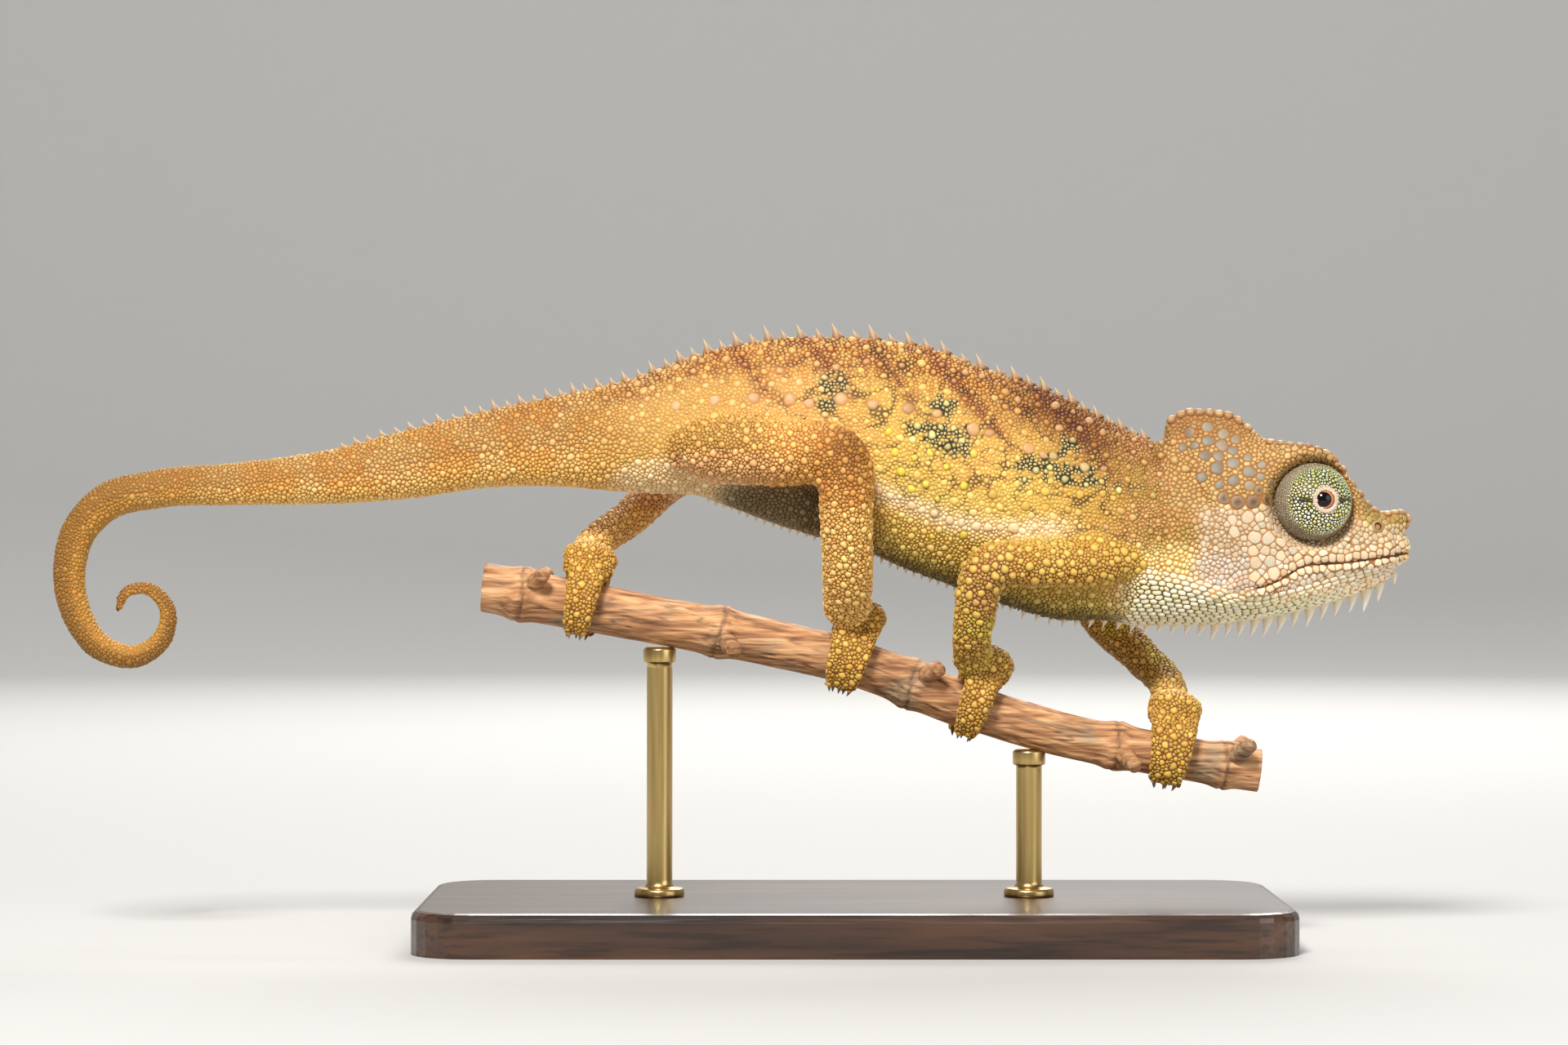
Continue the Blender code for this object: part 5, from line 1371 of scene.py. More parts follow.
def throat_point(x, share):
    """A place on the throat's side, from the top of its rows at 0 to the keel at 1."""
    top = np.array([curve(MOUTH_LINE, x)[0, 0], curve(THROAT_TOP, x)[0, 0]])
    lower = [curve(line, x)[0] for line in (JAW_LINE, THROAT_LINE)]
    keys = np.array([top] + [key for key in lower if key[1] < top[1] - 0.4] + [curve(KEEL_LINE, x)[0]])
    run = np.concatenate([[0], np.cumsum(np.linalg.norm(np.diff(keys, axis=0), axis=1))])
    at = share * run[-1]
    return np.interp(at, run, keys[:, 0]), np.interp(at, run, keys[:, 1])


def pin_throat(scales, side):
    """Rows of long scales that run along the throat and end under the chin."""
    for row in range(THROAT_ROWS):
        share = (row + 0.6) / THROAT_ROWS
        x = 34.0 - 3.0 * share + (row % 2) * 0.5
        last = 44.5 if row % 3 == 1 else 61.5 - row * 0.25
        while x < last:
            y, z = throat_point(x, share)
            ahead = throat_point(x + 0.3, share)
            heading = unit(np.array([0.3, (ahead[0] - y) * side, ahead[1] - z]))
            scales.pin((x, y * side, z), 0.29, "throat", 1.75, tuple(heading))
            x += scales.rng.uniform(0.92, 1.08)


def pin_flanks(scales):
    """Enlarged scales of the flanks, a little shifted on the left side."""
    for side in (-1, 1):
        for plates, kind in ((FLANK_PLATES, "flank"), (STRIPE_PLATES, "stripe"), (BACK_PLATES, "back"),
                             (YELLOW_SPOTS, "yellow"), (GREEN_SPOTS, "green")):
            for x, z, size in plates:
                if side > 0:
                    x, z = x + scales.rng.uniform(-0.8, 0.8), z + scales.rng.uniform(-0.5, 0.5)
                scales.pin_from_side(x, z, side, size * 1.06, kind)


def crest_rows():
    """The places and heights of the dorsal spines, as in the construction."""
    rng = random.Random(7)
    rows, x = [], CREST[0][0]
    places = sorted(CREST)
    while x > CREST[-1][0]:
        height, step = curve(places, x)[0]
        rows.append((trunk_length_at(x), height * rng.uniform(0.9, 1.1)))
        rows.append((trunk_length_at(x - step * 0.5), height * CREST_SMALL * rng.uniform(0.85, 1.15)))
        x -= step * rng.uniform(0.94, 1.06)
    return rows


def horn(place, heading, height, radius, bend, flare=1.0):
    """A slim curved cone as points and faces."""
    place, heading = np.array(place, float), unit(np.array(heading, float))
    helper = np.array([0.0, 1, 0]) if abs(heading[1]) < 0.9 else np.array([1.0, 0, 0])
    across = unit(np.cross(helper, heading))
    spokes = circle(across, np.cross(heading, across), HORN_SIDES)
    layers = []
    for share in np.linspace(0, 0.94, HORN_RINGS):
        middle = place + heading * height * share + np.array(bend) * height * share**2
        layers.append(middle + spokes * radius * (0.35 * (1 - share) + 0.65 * (1 - share) ** 2.0) ** flare)
    tip = place + heading * height + np.array(bend) * height
    points, faces = lofted(np.array(layers))
    last = (HORN_RINGS - 1) * HORN_SIDES
    tips = [[last + j, last + (j + 1) % HORN_SIDES, len(points)] for j in range(HORN_SIDES)]
    return np.concatenate([points, [tip]]), faces[:-2] + tips + [faces[-2]]


def spine(place, heading, height, radius, bend, colours, flare=1.0):
    """A horn with its colours from the root to the tip."""
    points, faces = horn(place, heading, height, radius, bend, flare)
    share = np.minimum(np.arange(len(points)) // HORN_SIDES / 5, 1.0)
    return (points, faces), mix(*colours, share)


def trunk_at(length):
    """Middle, dorsal direction, half height and half width of the trunk at one length."""
    return (value[0] for value in trunk_frame(length))


def crest_spines(rng):
    colours = srgb(132, 84, 46), srgb(206, 182, 142)
    for length, height in crest_rows():
        middle, dorsal, up, _ = trunk_at(length)
        lean = np.array([-CREST_LEAN, rng.uniform(-0.08, 0.08), 0])
        yield spine(middle + dorsal * (up - 0.4), dorsal + lean, height + 0.55, 0.5 + height * 0.24,
                    (-0.12, 0, 0), colours)


def under_spines(rng):
    """Long spines along the throat, and then short ones along the belly."""
    places = sorted(GULAR)
    colours = srgb(226, 206, 170), srgb(246, 240, 226)
    x = GULAR[0][0]
    while x > GULAR[-1][0]:
        height = curve(places, x)[0, 0] * rng.uniform(0.85, 1.15)
        if x > HEAD_BACK:
            z = curve(KEEL_LINE, x)[0, 1]
            slope = curve(KEEL_LINE, x + 0.5)[0, 1] - curve(KEEL_LINE, x - 0.5)[0, 1]
        else:
            middle, _, up, _ = trunk_at(trunk_length_at(x))
            z, slope = middle[2] - up, 0.0
        heading = (0.6 * slope - 0.12, rng.uniform(-0.06, 0.06), -1)
        radius = 0.36 + height * 0.24
        yield spine((x, 0, z + 0.5), heading, height + 0.6, radius, (-0.22, 0, 0), colours, 0.7)
        x -= GULAR_STEP * rng.uniform(0.92, 1.08)
    colours = srgb(214, 192, 150), srgb(244, 236, 218)
    while x > BELLY_SPINES_END:
        middle, _, up, _ = trunk_at(trunk_length_at(x))
        heading = (-0.15, rng.uniform(-0.1, 0.1), -1)
        height = rng.uniform(0.75, 0.95)
        yield spine((x, 0, middle[2] - up + 0.25), heading, height, 0.33, (-0.1, 0, 0), colours, 0.7)
        x -= BELLY_STEP * rng.uniform(0.92, 1.08)


def make_spines(material):
    rng = random.Random(3)
    for name, spines, slot in (("crest_spines", crest_spines(rng), "skin_body"),
                               ("gular_spines", under_spines(rng), "skin_head")):
        dress(gathered(name, *zip(*spines)), slot, material)


def make_claws():
    material, tree, shader = nodes_of("claw_horn", {"Roughness": 0.3, "Coat Weight": 0.4})
    along = object_noise(tree, 0.0004)
    tree.links.new(ramp(tree, along, [(0.3, srgb(104, 66, 34)), (0.7, srgb(168, 120, 70))]),
                   shader.inputs["Base Color"])
    shapes = []
    for leg in LEGS.values():
        middle, _, _ = twig_frame(leg[3])
        for path in toes(leg):
            tip = path[-1, 1:4]
            heading = unit(tip - path[-2, 1:4])
            bend = unit(middle - tip) * 0.2
            shapes.append(horn(tip - heading * 0.1, heading, CLAW_LENGTH, CLAW_RADIUS, bend, flare=0.6))
    dress(gathered("claws", shapes), "skin_leg", material)


def turned(profile, sides, centre, axis):
    """A turned surface: profile points are the distance along the axis and out from it."""
    across = unit(np.cross([0.0, 0, 1], axis))
    spokes = circle(across, np.cross(axis, across), sides)
    return np.array([centre + axis * along + spokes * out for along, out in profile])


class Turret:
    """One eye's turret: where it is, its skin, and measures round its axis."""

    def __init__(self, side):
        self.side = side
        self.centre = np.array([EYE_CENTRE[0] - TURRET_SETBACK, EYE_CENTRE[1] * side, EYE_CENTRE[2]])
        self.axis = unit(np.array([math.sin(GAZE_FORWARD), side * math.cos(GAZE_FORWARD), 0.05]))
        self.across = unit(np.cross([0.0, 0, 1], self.axis))
        self.up = np.cross(self.axis, self.across)
        self.front = TURRET_RADIUS + CORNEA_STANDS_OUT - EYEBALL_RADIUS
        self.room = EYEBALL_RADIUS + 0.04

    def measure(self, places):
        """Distances of places from the centre: along the axis, out from it, up and ahead."""
        local = places - self.centre
        along = local @ self.axis
        out = np.linalg.norm(local - along[:, None] * self.axis, axis=1)
        return along, out, local @ self.up, local[:, 0]

    def profile(self):
        """The outline of the skin: the wrinkled turret, the rounded lid and the wall inside the lid."""
        rows = []
        for angle in np.radians(np.linspace(128, 24, 100)):
            rim = smoothstep(50, 62, math.degrees(angle))
            reach = TURRET_RADIUS - 0.06 + 0.05 * rim * math.sin(angle * 90) - 0.12 * rim
            rows.append((reach * math.cos(angle), reach * math.sin(angle)))
        along, out = rows[-1]
        lip = self.front + math.sqrt(self.room**2 - PUPIL_RING_RADIUS**2)
        for t in np.linspace(0, 1, 8)[1:]:
            bulge = math.sin(math.pi * t) * 0.16
            rows.append((along + (lip - along) * t + bulge, out + (PUPIL_RING_RADIUS - out) * t))
        for angle in np.radians((52, 62, 74, 90)):
            rows.append((self.front + self.room * math.cos(angle), self.room * math.sin(angle)))
        return rows

    def skin(self):
        """The skin of the turret with fine folds in its lid."""
        sides = 4 * LID_SCALES
        points, faces = lofted(turned(self.profile(), sides, self.centre, self.axis))
        along, out, _, _ = self.measure(points)
        ripple = np.cos(np.arange(len(points)) % sides * np.pi / 2)
        points += self.axis * (0.014 * ripple * (bell((out - 1.3) / 0.14) * (along > 2)))[:, None]
        surface = Surface(points, faces)
        surface.finish()
        return surface

    def skin_hue(self, points):
        along, out, _, _ = self.measure(points)
        hue = mix(srgb(34, 30, 22), srgb(116, 100, 78), smoothstep(3.5, 4.1, out))
        hue = mix(hue, srgb(222, 202, 174), smoothstep(1.56, 1.44, out) * (along > 2))
        # The lid's inner edge is dark brown: painted shade in the gap round the eyeball.
        return mix(hue, srgb(70, 46, 34), smoothstep(1.09, 1.04, out) * (along > 2))

    def pin(self, scales):
        """A row of scales on the lid's edge, and rows of fine ones where the turret meets the head."""
        for i in range(LID_SCALES):
            angle = 2 * math.pi * i / LID_SCALES
            spoke = self.across * math.cos(angle) + self.up * math.sin(angle)
            place = self.centre + self.axis * (self.front + self.room) + spoke * 1.56
            scales.add(place, 0.13, "granule", 1.15, tuple(spoke))
        for radius in np.arange(4.02, 4.6, 0.17):
            count = int(2 * math.pi * radius / 0.3)
            depth = math.sqrt(TURRET_RADIUS**2 - min(radius, TURRET_RADIUS - 0.02) ** 2)
            for i in range(count):
                angle = 2 * math.pi * (i + 0.5 * (radius > 4.2)) / count + radius * 7
                spoke = self.across * math.cos(angle) + self.up * math.sin(angle)
                ahead = tuple(self.up * math.cos(angle) - self.across * math.sin(angle))
                scales.add(self.centre + self.axis * depth + spoke * radius, 0.085, "granule", 1.6, ahead)

    def scales(self, surface):
        """Granules all over the turret, smallest at its foot."""
        scales = Scales(surface, 31 + self.side)
        self.pin(scales)
        pinned = len(scales.places)
        ragged = np.random.default_rng(77 + self.side)

        def size_at(places, index, weights):
            out = self.measure(places)[1]
            size = np.interp(out, [1.5, 1.9, 3.0, 3.7, 4.1, 4.6], [0.15, 0.185, 0.19, 0.15, 0.1, 0.09])
            return size * ragged.uniform(0.75, 1.4, len(places)) * COARSER_LARGE

        scales.fill(size_at, 0.13 * COARSER_LARGE)
        scales.relax(pinned, 1)
        scales.settle()
        return scales

    def colour(self, scales):
        """Pale, yellow and green granules with a dark streak ahead of and behind the pale lid, painted light
        on the turret's underside and a painted highlight high behind.
        """
        _, out, level, ahead = self.measure(scales.places)
        pick = np.random.default_rng(5 + self.side).random(len(out))
        tone = mix(srgb(224, 222, 164), srgb(228, 214, 104), (pick < 0.25 + 0.3 * (level > 1.5)) * 1.0)
        tone = mix(tone, srgb(236, 240, 212), (pick > 0.66) * 1.0)
        tone = mix(tone, srgb(160, 184, 136), smoothstep(0.4, 2.6, level + ahead * 0.5) * 0.42)
        # Granules are lightened towards the turret's underside: painted light against the shade that the
        # light from above leaves there.
        tone = np.clip(tone * (1 + 0.35 * smoothstep(0.5, -3.0, level))[:, None], 0, 1)
        streak = bell(level / 0.32) * smoothstep(1.5, 1.8, out) * (1 - smoothstep(3.2, 4.0, out))
        tone = mix(tone, srgb(30, 22, 14), streak * (pick < 0.8) * 0.95)
        tone = mix(tone, mix(srgb(212, 196, 164), srgb(156, 136, 110), pick), smoothstep(3.75, 4.15, out))
        # A painted highlight: pale granules where the key light's glint falls, high and behind.
        painted_highlight = bell((ahead + 2.0) / 0.75, (level - 1.2) / 0.5)
        tone = mix(tone, srgb(250, 232, 176), np.clip(painted_highlight * 1.5, 0, 1))
        on_lid = (out < 1.68) * 1.0
        scales.centre = mix(tone, mix(srgb(228, 212, 186), srgb(214, 184, 154), pick), on_lid)
        scales.core = scales.centre
        rim = mix(srgb(34, 30, 22), srgb(186, 160, 134), on_lid)
        scales.rim = mix(rim, srgb(88, 72, 56), smoothstep(3.6, 4.1, out))
        scales.limit = scales.limit * np.where(on_lid > 0, 0.98, 0.86)[:, None]
        scales.heights = scales.sizes * (0.55 - 0.3 * on_lid)


def make_eye(side, name, scale_material):
    """A turret of dark wrinkled skin under separate granules, the pale ring of its lid, and its eyeball."""
    turret = Turret(side)
    surface = turret.skin()
    base = new_object(f"eye_turret_skin_{name}", new_mesh("turret", surface.points, surface.faces))
    paint(base, turret.skin_hue(surface.points))
    dress(base, "skin_turret", scale_material, replaced=[f"eye_turret_{name}"])
    flat = unwrap(base)
    scales = turret.scales(surface)
    turret.colour(scales)
    scales.roots = unwrap_places(surface, flat, scales)
    along, out, _, _ = turret.measure(scales.places)
    chosen = np.flatnonzero((along > -1.2) & (out > 1.12))
    dress(scale_mesh(f"eye_turret_scales_{name}", scales, chosen), "skin_turret", scale_material)
    make_eyeball(name, turret.centre + turret.axis * turret.front, turret.axis)


def make_eyeball(name, centre, axis):
    """A wet eyeball that looks a little behind the lid's opening: the iris shows before the pupil."""
    bm = bmesh.new()
    bmesh.ops.create_uvsphere(bm, u_segments=64, v_segments=48, radius=EYEBALL_RADIUS)
    look = unit(axis + np.array([-0.2, 0, 0.02]))
    turn = Vector((0, 0, 1)).rotation_difference(Vector(look)).to_matrix().to_4x4()
    bm.transform(Matrix.Translation(Vector(centre)) @ turn)
    points = np.array([vert.co for vert in bm.verts])
    faces = sorted([vert.index for vert in face.verts] for face in bm.faces)  # Blender's order varies
    bm.free()
    obj = new_object(f"eyeball_seen_{name}", new_mesh("eyeball", points, faces))
    local = points - centre
    along = local @ look
    out = np.linalg.norm(local - along[:, None] * look, axis=1)
    layer = obj.data.attributes.new("ring", "FLOAT", "POINT")
    layer.data.foreach_set("value", np.where(along > 0, out, 2.0))
    material, tree, shader = nodes_of(f"eye_{name}", {"Roughness": 0.05, "Specular IOR Level": 0.35})
    ring = add_node(tree, "ShaderNodeAttribute", attribute_name="ring").outputs["Fac"]
    pupil = [(0.0, (0.002, 0.002, 0.002)), (0.84, (0.003, 0.002, 0.002))]
    iris = [(0.87, srgb(170, 92, 58)), (0.95, srgb(214, 150, 118)), (1.0, srgb(190, 120, 88))]
    tree.links.new(ramp(tree, ring, pupil + iris), shader.inputs["Base Color"])
    dress(obj, "eye", material, replaced=[f"eyeball_{name}"])


def twig_radius(x):
    swell = sum(KNOT_SWELL * math.exp(-(((x - knot) / KNOT_LENGTH) ** 2)) for knot in TWIG_KNOTS)
    return TWIG_RADIUS * (1 - TWIG_TAPER * (x - TWIG[0][0])) + swell


def bark_ring(x):
    """The bark's outline and tones at one place: fibres, peeling strips, slits and ring scars."""
    middle, _, up = twig_frame(x)
    ring, tones = [], []
    for angle in np.arange(TWIG_SIDES) * 2 * np.pi / TWIG_SIDES:
        place = Vector((x * 0.1, math.cos(angle) * 3.2, math.sin(angle) * 3.2))
        fibre = noise.noise(place) * 0.1 + noise.noise(place * 2.7) * 0.06
        peel = max(0.0, noise.noise(place * 0.55 + Vector((9, 4, 2))) - 0.2) * 0.5
        slit = math.exp(-((noise.noise(place * 0.8 + Vector((3, 8, 5))) / 0.035) ** 2))
        scars = [math.exp(-(((x - k - 0.3 * math.sin(angle * 2 + k)) / 0.2) ** 2)) for k in TWIG_KNOTS]
        scar = sum(scars)
        reach = twig_radius(x) - 0.12 + fibre + peel - 0.2 * scar - 0.14 * slit
        ring.append(middle + (np.array([0.0, 1, 0]) * math.sin(angle) + up * math.cos(angle)) * reach)
        tones.append(1 - 0.6 * max(min(scar, 1.0), slit * 0.9) + 0.25 * peel)
    return ring, tones


def stub(knot, side, tilt):
    """A cut side shoot."""
    middle, along, up = twig_frame(knot)
    out = np.array([0.0, side, 0]) * math.cos(tilt) + up * math.sin(tilt)
    heading = unit(out + along * 0.45)
    start = middle + heading * (TWIG_RADIUS - 1.1)
    rows = measured([(*(start + heading * away), radius) for away, radius in STUB])
    return lofted(tube_rings(rows, np.linspace(0, STUB[-1][0], STUB_RINGS), STUB_SIDES))


def bark_material():
    material, tree, shader = nodes_of("bark", {"Roughness": 0.72})
    fibres = object_noise(tree, 0.0006, 6.0, (0.06, 1.0, 1.0))
    patches = object_noise(tree, 0.005, 4.0)
    brown = [(0.28, srgb(116, 72, 42)), (0.5, srgb(188, 134, 88)), (0.72, srgb(226, 182, 132))]
    wood = ramp(tree, fibres, brown)
    grey = ramp(tree, fibres, [(0.3, srgb(100, 78, 58)), (0.7, srgb(186, 162, 128))])
    share = ramp(tree, patches, [(0.55, (0, 0, 0)), (0.68, (0.75, 0.75, 0.75))])
    tone = add_node(tree, "ShaderNodeAttribute", attribute_name="hue").outputs["Color"]
    colour = blend(tree, "MULTIPLY", 1.0, blend(tree, "MIX", share, wood, grey), tone)
    tree.links.new(colour, shader.inputs["Base Color"])
    bumped(tree, shader, fibres, 0.00035)
    return material


def make_twig():
    """The cut stem with its bark, cut ends and stubs."""
    made = [bark_ring(x) for x in np.arange(TWIG[0][0], TWIG[-1][0] + 0.01, 0.3)]
    rings = np.array([ring for ring, _ in made])
    caps = []
    for end in (0, -1):
        middle = rings[end].mean(0)
        caps.append([middle + (rings[end] - middle) * share for share in (0.02, 0.35, 0.7, 0.93)])
    shapes = [lofted(np.concatenate([caps[0], rings, caps[1][::-1]]))]
    ends = np.ones(len(caps[0]) * TWIG_SIDES)
    tones = np.concatenate([ends, *(tones for _, tones in made), ends])
    colours = [tones[:, None] * [1, 1, 1]]
    for i, knot in enumerate(TWIG_KNOTS):
        for side in (-1, 1):
            shapes.append(stub(knot, side, math.radians(-20 if i % 2 else 35)))
            colours.append(np.full((STUB_RINGS * STUB_SIDES, 3), 0.8))
    dress(gathered("perch_bark", shapes, colours), "bark", bark_material(), replaced=["perch_twig"])


def wood_material():
    settings = {"Roughness": 0.34, "Coat Weight": 0.35, "Coat Roughness": 0.15}
    material, tree, shader = nodes_of("stand_wood", settings)
    grain = object_noise(tree, 0.004, 8.0, (0.08, 1.0, 1.0))
    pores = object_noise(tree, 0.0007, 3.0, (0.06, 1.0, 1.0))
    wood = ramp(tree, grain, [(0.3, srgb(34, 22, 15)), (0.52, srgb(66, 42, 27)), (0.75, srgb(96, 62, 40))])
    dark = ramp(tree, pores, [(0.36, (0.35, 0.35, 0.35)), (0.5, (1, 1, 1))])
    tree.links.new(blend(tree, "MULTIPLY", 0.8, wood, dark), shader.inputs["Base Color"])
    bumped(tree, shader, pores, 0.00006)
    return material


def brass_material():
    material, tree, shader = nodes_of("stand_brass", {"Metallic": 1.0, "Roughness": 0.3})
    brushed = object_noise(tree, 0.0006, 4.0, (1.0, 1.0, 0.03))
    tree.links.new(ramp(tree, brushed, [(0.3, srgb(176, 148, 92)), (0.7, srgb(214, 186, 124))]),
                   shader.inputs["Base Color"])
    bumped(tree, shader, brushed, 0.00002)
    return material


def make_stand():
    """A dark wood base with its grain along it, and brushed rods each with a small flange."""
    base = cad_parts["stand_base"]
    base.data.materials.clear()
    base.data.materials.append(wood_material())
    brass = brass_material()
    for name in ("stand_rod_rear", "stand_rod_front"):
        low, high = (np.array(corner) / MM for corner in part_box(name))
        middle = (low + high) / 2
        floor, top = low[2] - GAP, high[2]
        profile = [(floor + height, radius) for height, radius in FLANGE]
        profile += [(top - depth, radius) for depth, radius in COLLAR]
        fine = []
        for (z0, r0), (z1, r1) in zip(profile, profile[1:]):
            fine += [(z0 + (z1 - z0) * t, r0 + (r1 - r0) * t) for t in (0.02, 0.5, 0.98)]
        rings = turned(fine, 64, np.array([middle[0], 0, 0]), np.array([0.001, 0, 1.0]))
        dress(gathered(name + "_turned", [lofted(rings)]), "stand_metal", brass, replaced=[name])


def make_skin(material):
    """The one skin over all the flesh; returns its surface, parts, shares of legs and unwrap."""
    surface = skin_surface()
    sculpt(surface)
    surface.finish()
    part = surface.shares.argmax(1)
    legs = smoothstep(0.2, 0.8, surface.blur(surface.shares[:, FORE_PART:], 36))
    _, hue, _, _ = markings(surface.points, part, legs, surface.length, surface.rise)
    skin = new_object("skin", new_mesh("skin", surface.points, surface.faces))
    paint(skin, hue)
    flesh = ["head", "neck", "torso"] + [f"tail_{i}" for i in range(1, 6)]
    for side in ("right", "left"):
        flesh += [f"{limb}_{side}" for limb in ("upper_arm", "forearm", "hand", "thigh", "shin", "foot")]
    dress(skin, "skin_body", material, replaced=flesh)
    return surface, part, legs, unwrap(skin)


def spread_scales(surface, part):
    """Places of all the scales: the enlarged ones one by one, then small ones between them."""
    scales = Scales(surface, 12)
    pin_head(scales)
    pin_flanks(scales)
    pinned = len(scales.places)
    sizes = skin_sizes(surface)
    scales.fill(lambda points, index, weights: surface.spread(sizes, index, weights)[:, 0],
                SMALLEST_SCALE * COARSER, large_scales(surface, part))
    scales.relax(pinned, 2)
    scales.settle()
    print("scales", len(scales.places), "pinned", pinned)
    return scales


def overlay_colours(scales, pick):
    """Own colours of the enlarged scales on the body: kind, where, colour and strength."""
    x, _, z = scales.places.T
    trunk = scales.part == TRUNK_PART
    upper_arm = (scales.part == FORE_PART) & (z > 39.5)
    other_leg = (scales.part > HEAD_PART) & ((z < 39.5) | (x < 5))
    lighter = np.clip(scales.centre * [1.3, 1.3, 1.65], 0, 1)
    for kind, members, colour, share in (
        ("tubercle", trunk, lighter, np.where(x > -28, 0.6, 0.45)),
        ("tubercle", upper_arm, srgb(228, 190, 88), 0.75),
        ("tubercle", other_leg, lighter, 1.0),
        ("yellow", x < 14, mix(BRIGHT_YELLOW, srgb(226, 196, 90), pick * 0.8), 0.9),
        ("yellow", x >= 14, srgb(206, 168, 70), 0.6),
        ("green", True, srgb(206, 204, 130), 0.95),
        ("flank", True, mix(srgb(184, 132, 88), srgb(204, 154, 110), pick), 0.8),
        ("back", True, mix(srgb(210, 158, 108), srgb(182, 130, 80), pick), 0.75),
        ("stripe", True, mix(srgb(238, 216, 172), srgb(224, 170, 120), pick), 0.8),
        ("throat", True, mix(srgb(252, 246, 222), srgb(240, 228, 180), pick), 0.8),
    ):
        scales.centre = mix(scales.centre, colour, (scales.kinds == kind) * members * share)
    olive = mix(srgb(210, 188, 122), srgb(182, 176, 112), pick)
    scales.centre = mix(scales.centre, olive, scales.black * 0.7)


def head_scale_colours(scales, pick):
    """Own middle and rim colours of the enlarged scales on the head."""
    for kind, colour, edge in (
        ("casque", mix(srgb(116, 110, 93), srgb(144, 125, 95), pick), srgb(200, 140, 86)),
        ("dark", mix(srgb(138, 104, 66), srgb(170, 134, 92), pick), srgb(150, 100, 56)),
        ("cheek", mix(srgb(196, 184, 160), srgb(222, 194, 158), pick), srgb(206, 154, 104)),
        ("ridge", mix(srgb(166, 124, 72), srgb(204, 164, 112), pick), srgb(134, 86, 46)),
        ("lip", mix(srgb(238, 218, 186), srgb(226, 192, 146), pick), srgb(180, 128, 88)),
    ):
        members = (scales.kinds == kind) * 1.0
        scales.centre = mix(scales.centre, colour, members)
        scales.rim = mix(scales.rim, edge, members)


def colour_scales(scales, surface, part, legs):
    """Colours of each scale's middle, rim and tip; returns its draw, its variation and how smooth it is."""
    corner = surface.triangles[scales.index, scales.weights.argmax(1)]
    scales.part, scales.rise = part[corner], surface.rise[corner]
    place_legs = surface.spread(legs, scales.index, scales.weights)
    scales.centre, between, scales.black, scales.dark = markings(
        scales.places, scales.part, place_legs, surface.length[corner], scales.rise)
    rng = np.random.default_rng(8)
    pick = rng.random(len(scales.kinds))
    shade = rng.normal(1.0, 0.07, len(scales.kinds))[:, None]
    vary = rng.uniform(0.85, 1.15, len(scales.kinds))
    x, _, z = scales.places.T
    overlay_colours(scales, pick)
    smooth = (scales.part == TRUNK_PART) * (1 - scales.dark)
    smooth = smooth * smoothstep(-0.65, -0.35, scales.rise) * smoothstep(0.85, 0.6, scales.rise)
    smooth = smooth * smoothstep(-34, -22, x) * smoothstep(30, 22, x)
    smooth = np.maximum(smooth, (scales.part == HEAD_PART) * (x > 40) * (z < 50.5) * 0.6)
    scales.rim = mix(scales.centre, between, 0.64 + 0.34 * scales.dark - 0.4 * smooth)
    # The rims take the skin's own darker colour. This factor darkens them further as painted shade in the
    # grooves between the scales. The shade is less on the smooth flanks and stronger in the black marks,
    # streaks and cracks, which are also dark in their own colour.
    scales.rim = scales.rim * (0.88 - 0.3 * scales.dark + 0.12 * smooth)[:, None]
    head_scale_colours(scales, pick)
    scales.centre, scales.rim = np.clip(scales.centre * shade, 0, 1), np.clip(scales.rim * shade, 0, 1)
    by_eye = eye_axis_distance(scales.places) < 7.4
    pored = (scales.part == HEAD_PART) & (z > 48) & (scales.sizes > 0.28) & by_eye & (pick < 0.3)
    scales.core = mix(scales.centre, srgb(66, 46, 30), np.where(scales.kinds == "dark", 0.95, pored * 0.8))
    return pick, vary, smooth


def shape_scales(scales, pick, vary, smooth):
    """Gives every scale one of the profiles, its height and how far it keeps from its neighbours."""
    x = scales.places[:, 0]
    trunk = scales.part == TRUNK_PART
    kinds = np.array([PROFILE_OF.get(kind, kind) for kind in scales.kinds])
    on_head = (scales.part == HEAD_PART) & (x > 39)
    kinds = np.where(on_head & (kinds == "granule") & (scales.sizes > 0.28), "pillow", kinds)
    edge_of_belly = trunk & (scales.rise < -0.55) & (x > -6) & (x < 28)
    spiny_back = trunk & (scales.rise > 0.93) & (pick < 0.4) & (x > -50)
    kinds = np.where((kinds == "granule") & (edge_of_belly & (pick < 0.6) | spiny_back), "cone", kinds)
    scales.kinds = kinds
    scales.heights = scales.sizes * np.array([PROFILES[kind][0] for kind in kinds]) * vary
    scales.heights = scales.heights * (1 - 0.3 * smooth)
    scales.limit = scales.limit * (1 - 0.38 * scales.dark + 0.24 * scales.black)[:, None]


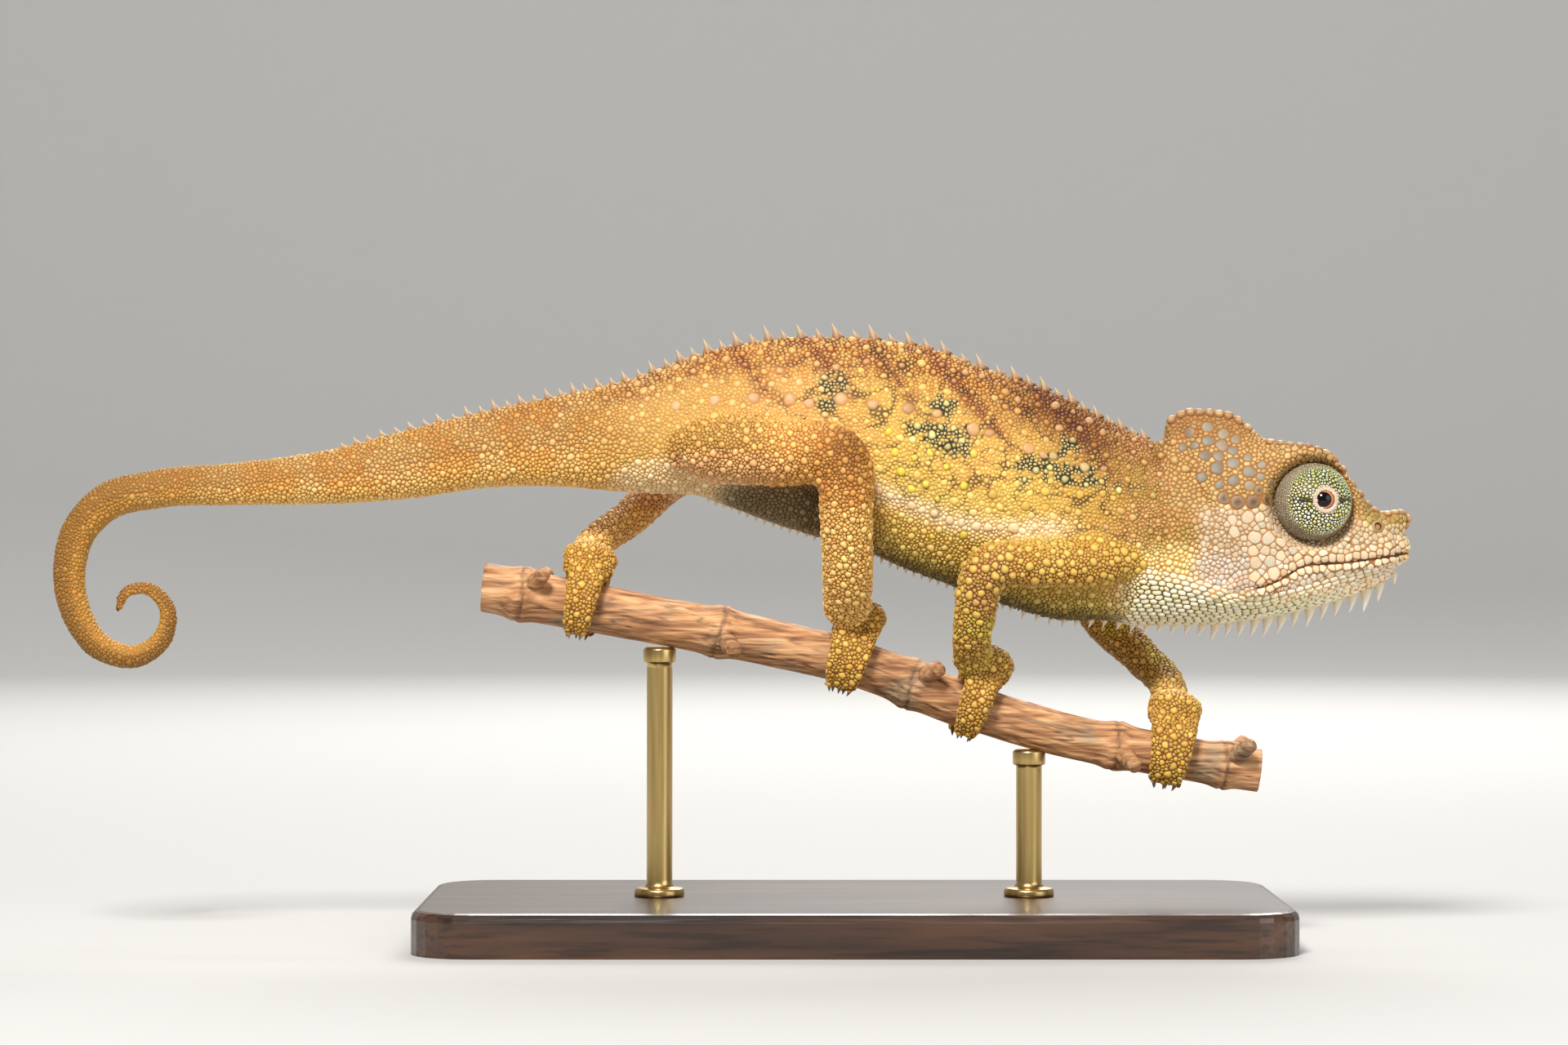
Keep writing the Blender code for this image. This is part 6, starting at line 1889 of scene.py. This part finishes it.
def skin_and_scales(scale_material, skin_material):
    """The skin and, over it, all the scales in a few joined meshes."""
    surface, part, legs, flat = make_skin(skin_material)
    scales = spread_scales(surface, part)
    is_nostril = scales.kinds == "nostril"
    shape_scales(scales, *colour_scales(scales, surface, part, legs))
    scales.roots = unwrap_places(surface, flat, scales)
    x, y, _ = scales.places.T
    for side, name in ((-1, "right"), (1, "left")):
        here = np.flatnonzero(is_nostril & (y * side > 0))
        if len(here):
            make_nostril(name, scales.places[here[0]], scales.normals[here[0]], scale_material)

    trunk, head = scales.part == TRUNK_PART, scales.part == HEAD_PART
    under_eye = (eye_axis_distance(scales.places) < TURRET_RADIUS - 0.15) & (np.abs(y) > 2) & head
    in_mouth = (np.abs(mouth_gap(scales.places)[0]) < 0.12) & head & (x > MOUTH_CORNER_X + 0.5)
    keep = ~(under_eye | in_mouth | is_nostril)
    for name, members, slot in (
        ("head", head, "skin_head"),
        ("shoulders", trunk & (x > 22), "skin_body"),
        ("front_flanks", trunk & (x > 8) & (x <= 22), "skin_body"),
        ("rear_flanks", trunk & (x > -8) & (x <= 8), "skin_body"),
        ("hips", trunk & (x <= -8) & (x > -28), "skin_body"),
        ("tail_root", trunk & (x <= -28) & (x > -60), "skin_tail"),
        ("tail_curl", trunk & (x <= -60), "skin_tail"),
        ("front_legs", scales.part == FORE_PART, "skin_leg"),
        ("hind_legs", scales.part == HIND_PART, "skin_leg"),
        ("feet", scales.part == FOOT_PART, "skin_leg"),
    ):
        dress(scale_mesh(f"scales_{name}", scales, np.flatnonzero(members & keep)), slot, scale_material)


def make_nostril(name, place, normal, material):
    """A raised ring of skin round a shallow hole whose inside is painted near-black as painted shade."""
    outside = [(-0.25, 0.76), (0.1, 0.72), (0.2, 0.62), (0.24, 0.52)]
    inside = [(0.2, 0.42), (0.05, 0.36), (-0.15, 0.33), (-0.35, 0.28)]
    profile = outside + inside
    # The inner rings fade to near-black: painted shade in the hole.
    share = np.repeat(np.clip((np.arange(len(profile)) - 2) / 2.5, 0, 1), NOSTRIL_SIDES)
    hues = mix(srgb(176, 146, 100), srgb(26, 14, 8), share)
    ring = lofted(turned(profile, NOSTRIL_SIDES, place, normal))
    dress(gathered(f"nostril_{name}", [ring], [hues]), "skin_head", material)


def make_backdrop():
    """A pale round bowl: a flat floor that curves up into a wall."""
    profile = [(0.0, out) for out in (0.001, 0.1, 0.2, 0.35, 0.5, 0.65, 0.8, 0.88, 0.9)]
    for angle in np.radians(np.linspace(0, 90, 46)[1:]):
        profile.append((0.45 * (1 - math.cos(angle)), 0.9 + 0.45 * math.sin(angle)))
    profile.append((1.8, 1.35))
    points, faces = lofted(turned(profile, 128, np.zeros(3), np.array([0.0, 0.0001, 1.0])))
    bowl = new_object("studio_bowl", new_mesh("studio", points, faces[:-1], scale=1.0))
    material, _, shader = nodes_of("studio_paper", {"Roughness": 0.9, "Specular IOR Level": 0.1})
    shader.inputs["Base Color"].default_value = (0.5, 0.495, 0.482, 1)
    bowl.data.materials.append(material)


def make_sky():
    """A faint even sky."""
    world = bpy.data.worlds.new("studio_sky")
    world.use_nodes = True
    world.node_tree.nodes["Background"].inputs["Color"].default_value = (0.9, 0.93, 1.0, 1)
    world.node_tree.nodes["Background"].inputs["Strength"].default_value = 0.35
    bpy.context.scene.world = world


def make_lights():
    """Three soft lights on the subject and one on the wall."""
    subject, wall = Vector((-0.005, 0, 0.045)), Vector((0, 1.4, 0.4))
    for name, place, target, size, power, tint in (
        ("key", (-0.14, -0.48, 0.56), subject, 0.2, 6.8, (1.0, 0.98, 0.95)),
        ("fill", (0.6, -0.5, 0.3), subject, 0.6, 2.0, (0.96, 0.98, 1.0)),
        ("back", (0.1, 0.62, 0.55), subject, 0.5, 5.6, (1.0, 0.98, 0.96)),
        ("wall", (0.0, 0.4, 1.0), wall, 0.6, 5.6, (1.0, 0.99, 0.97)),
    ):
        data = bpy.data.lights.new(name, "AREA")
        data.shape = "DISK"
        data.size = size
        data.energy = power
        data.color = tint
        light = bpy.data.objects.new(name, data)
        light.location = place
        light.rotation_euler = (target - Vector(place)).to_track_quat("-Z", "Y").to_euler()
        bpy.context.scene.collection.objects.link(light)


def make_camera():
    data = bpy.data.cameras.new("photo_camera")
    data.lens, data.sensor_width = 100, 36
    data.clip_start, data.clip_end = 0.02, 10
    camera = bpy.data.objects.new("photo_camera", data)
    camera.location = (-0.008, -0.507, 0.0485)
    camera.rotation_euler = (math.radians(90), 0, 0)
    bpy.context.scene.collection.objects.link(camera)
    bpy.context.scene.camera = camera


make_camera()
scale_look = scaly_material("scale_horn", 0.49, 0.12, 0.00002)
skin_look = scaly_material("skin_between", 0.7, 0.18, 0.00004)
skin_and_scales(scale_look, skin_look)
for eye_side, eye_name in ((-1, "right"), (1, "left")):
    make_eye(eye_side, eye_name, scale_look)
make_spines(scale_look)
make_claws()
make_twig()
make_stand()
make_backdrop()
make_sky()
make_lights()
bpy.context.scene.view_settings.view_transform = "Standard"
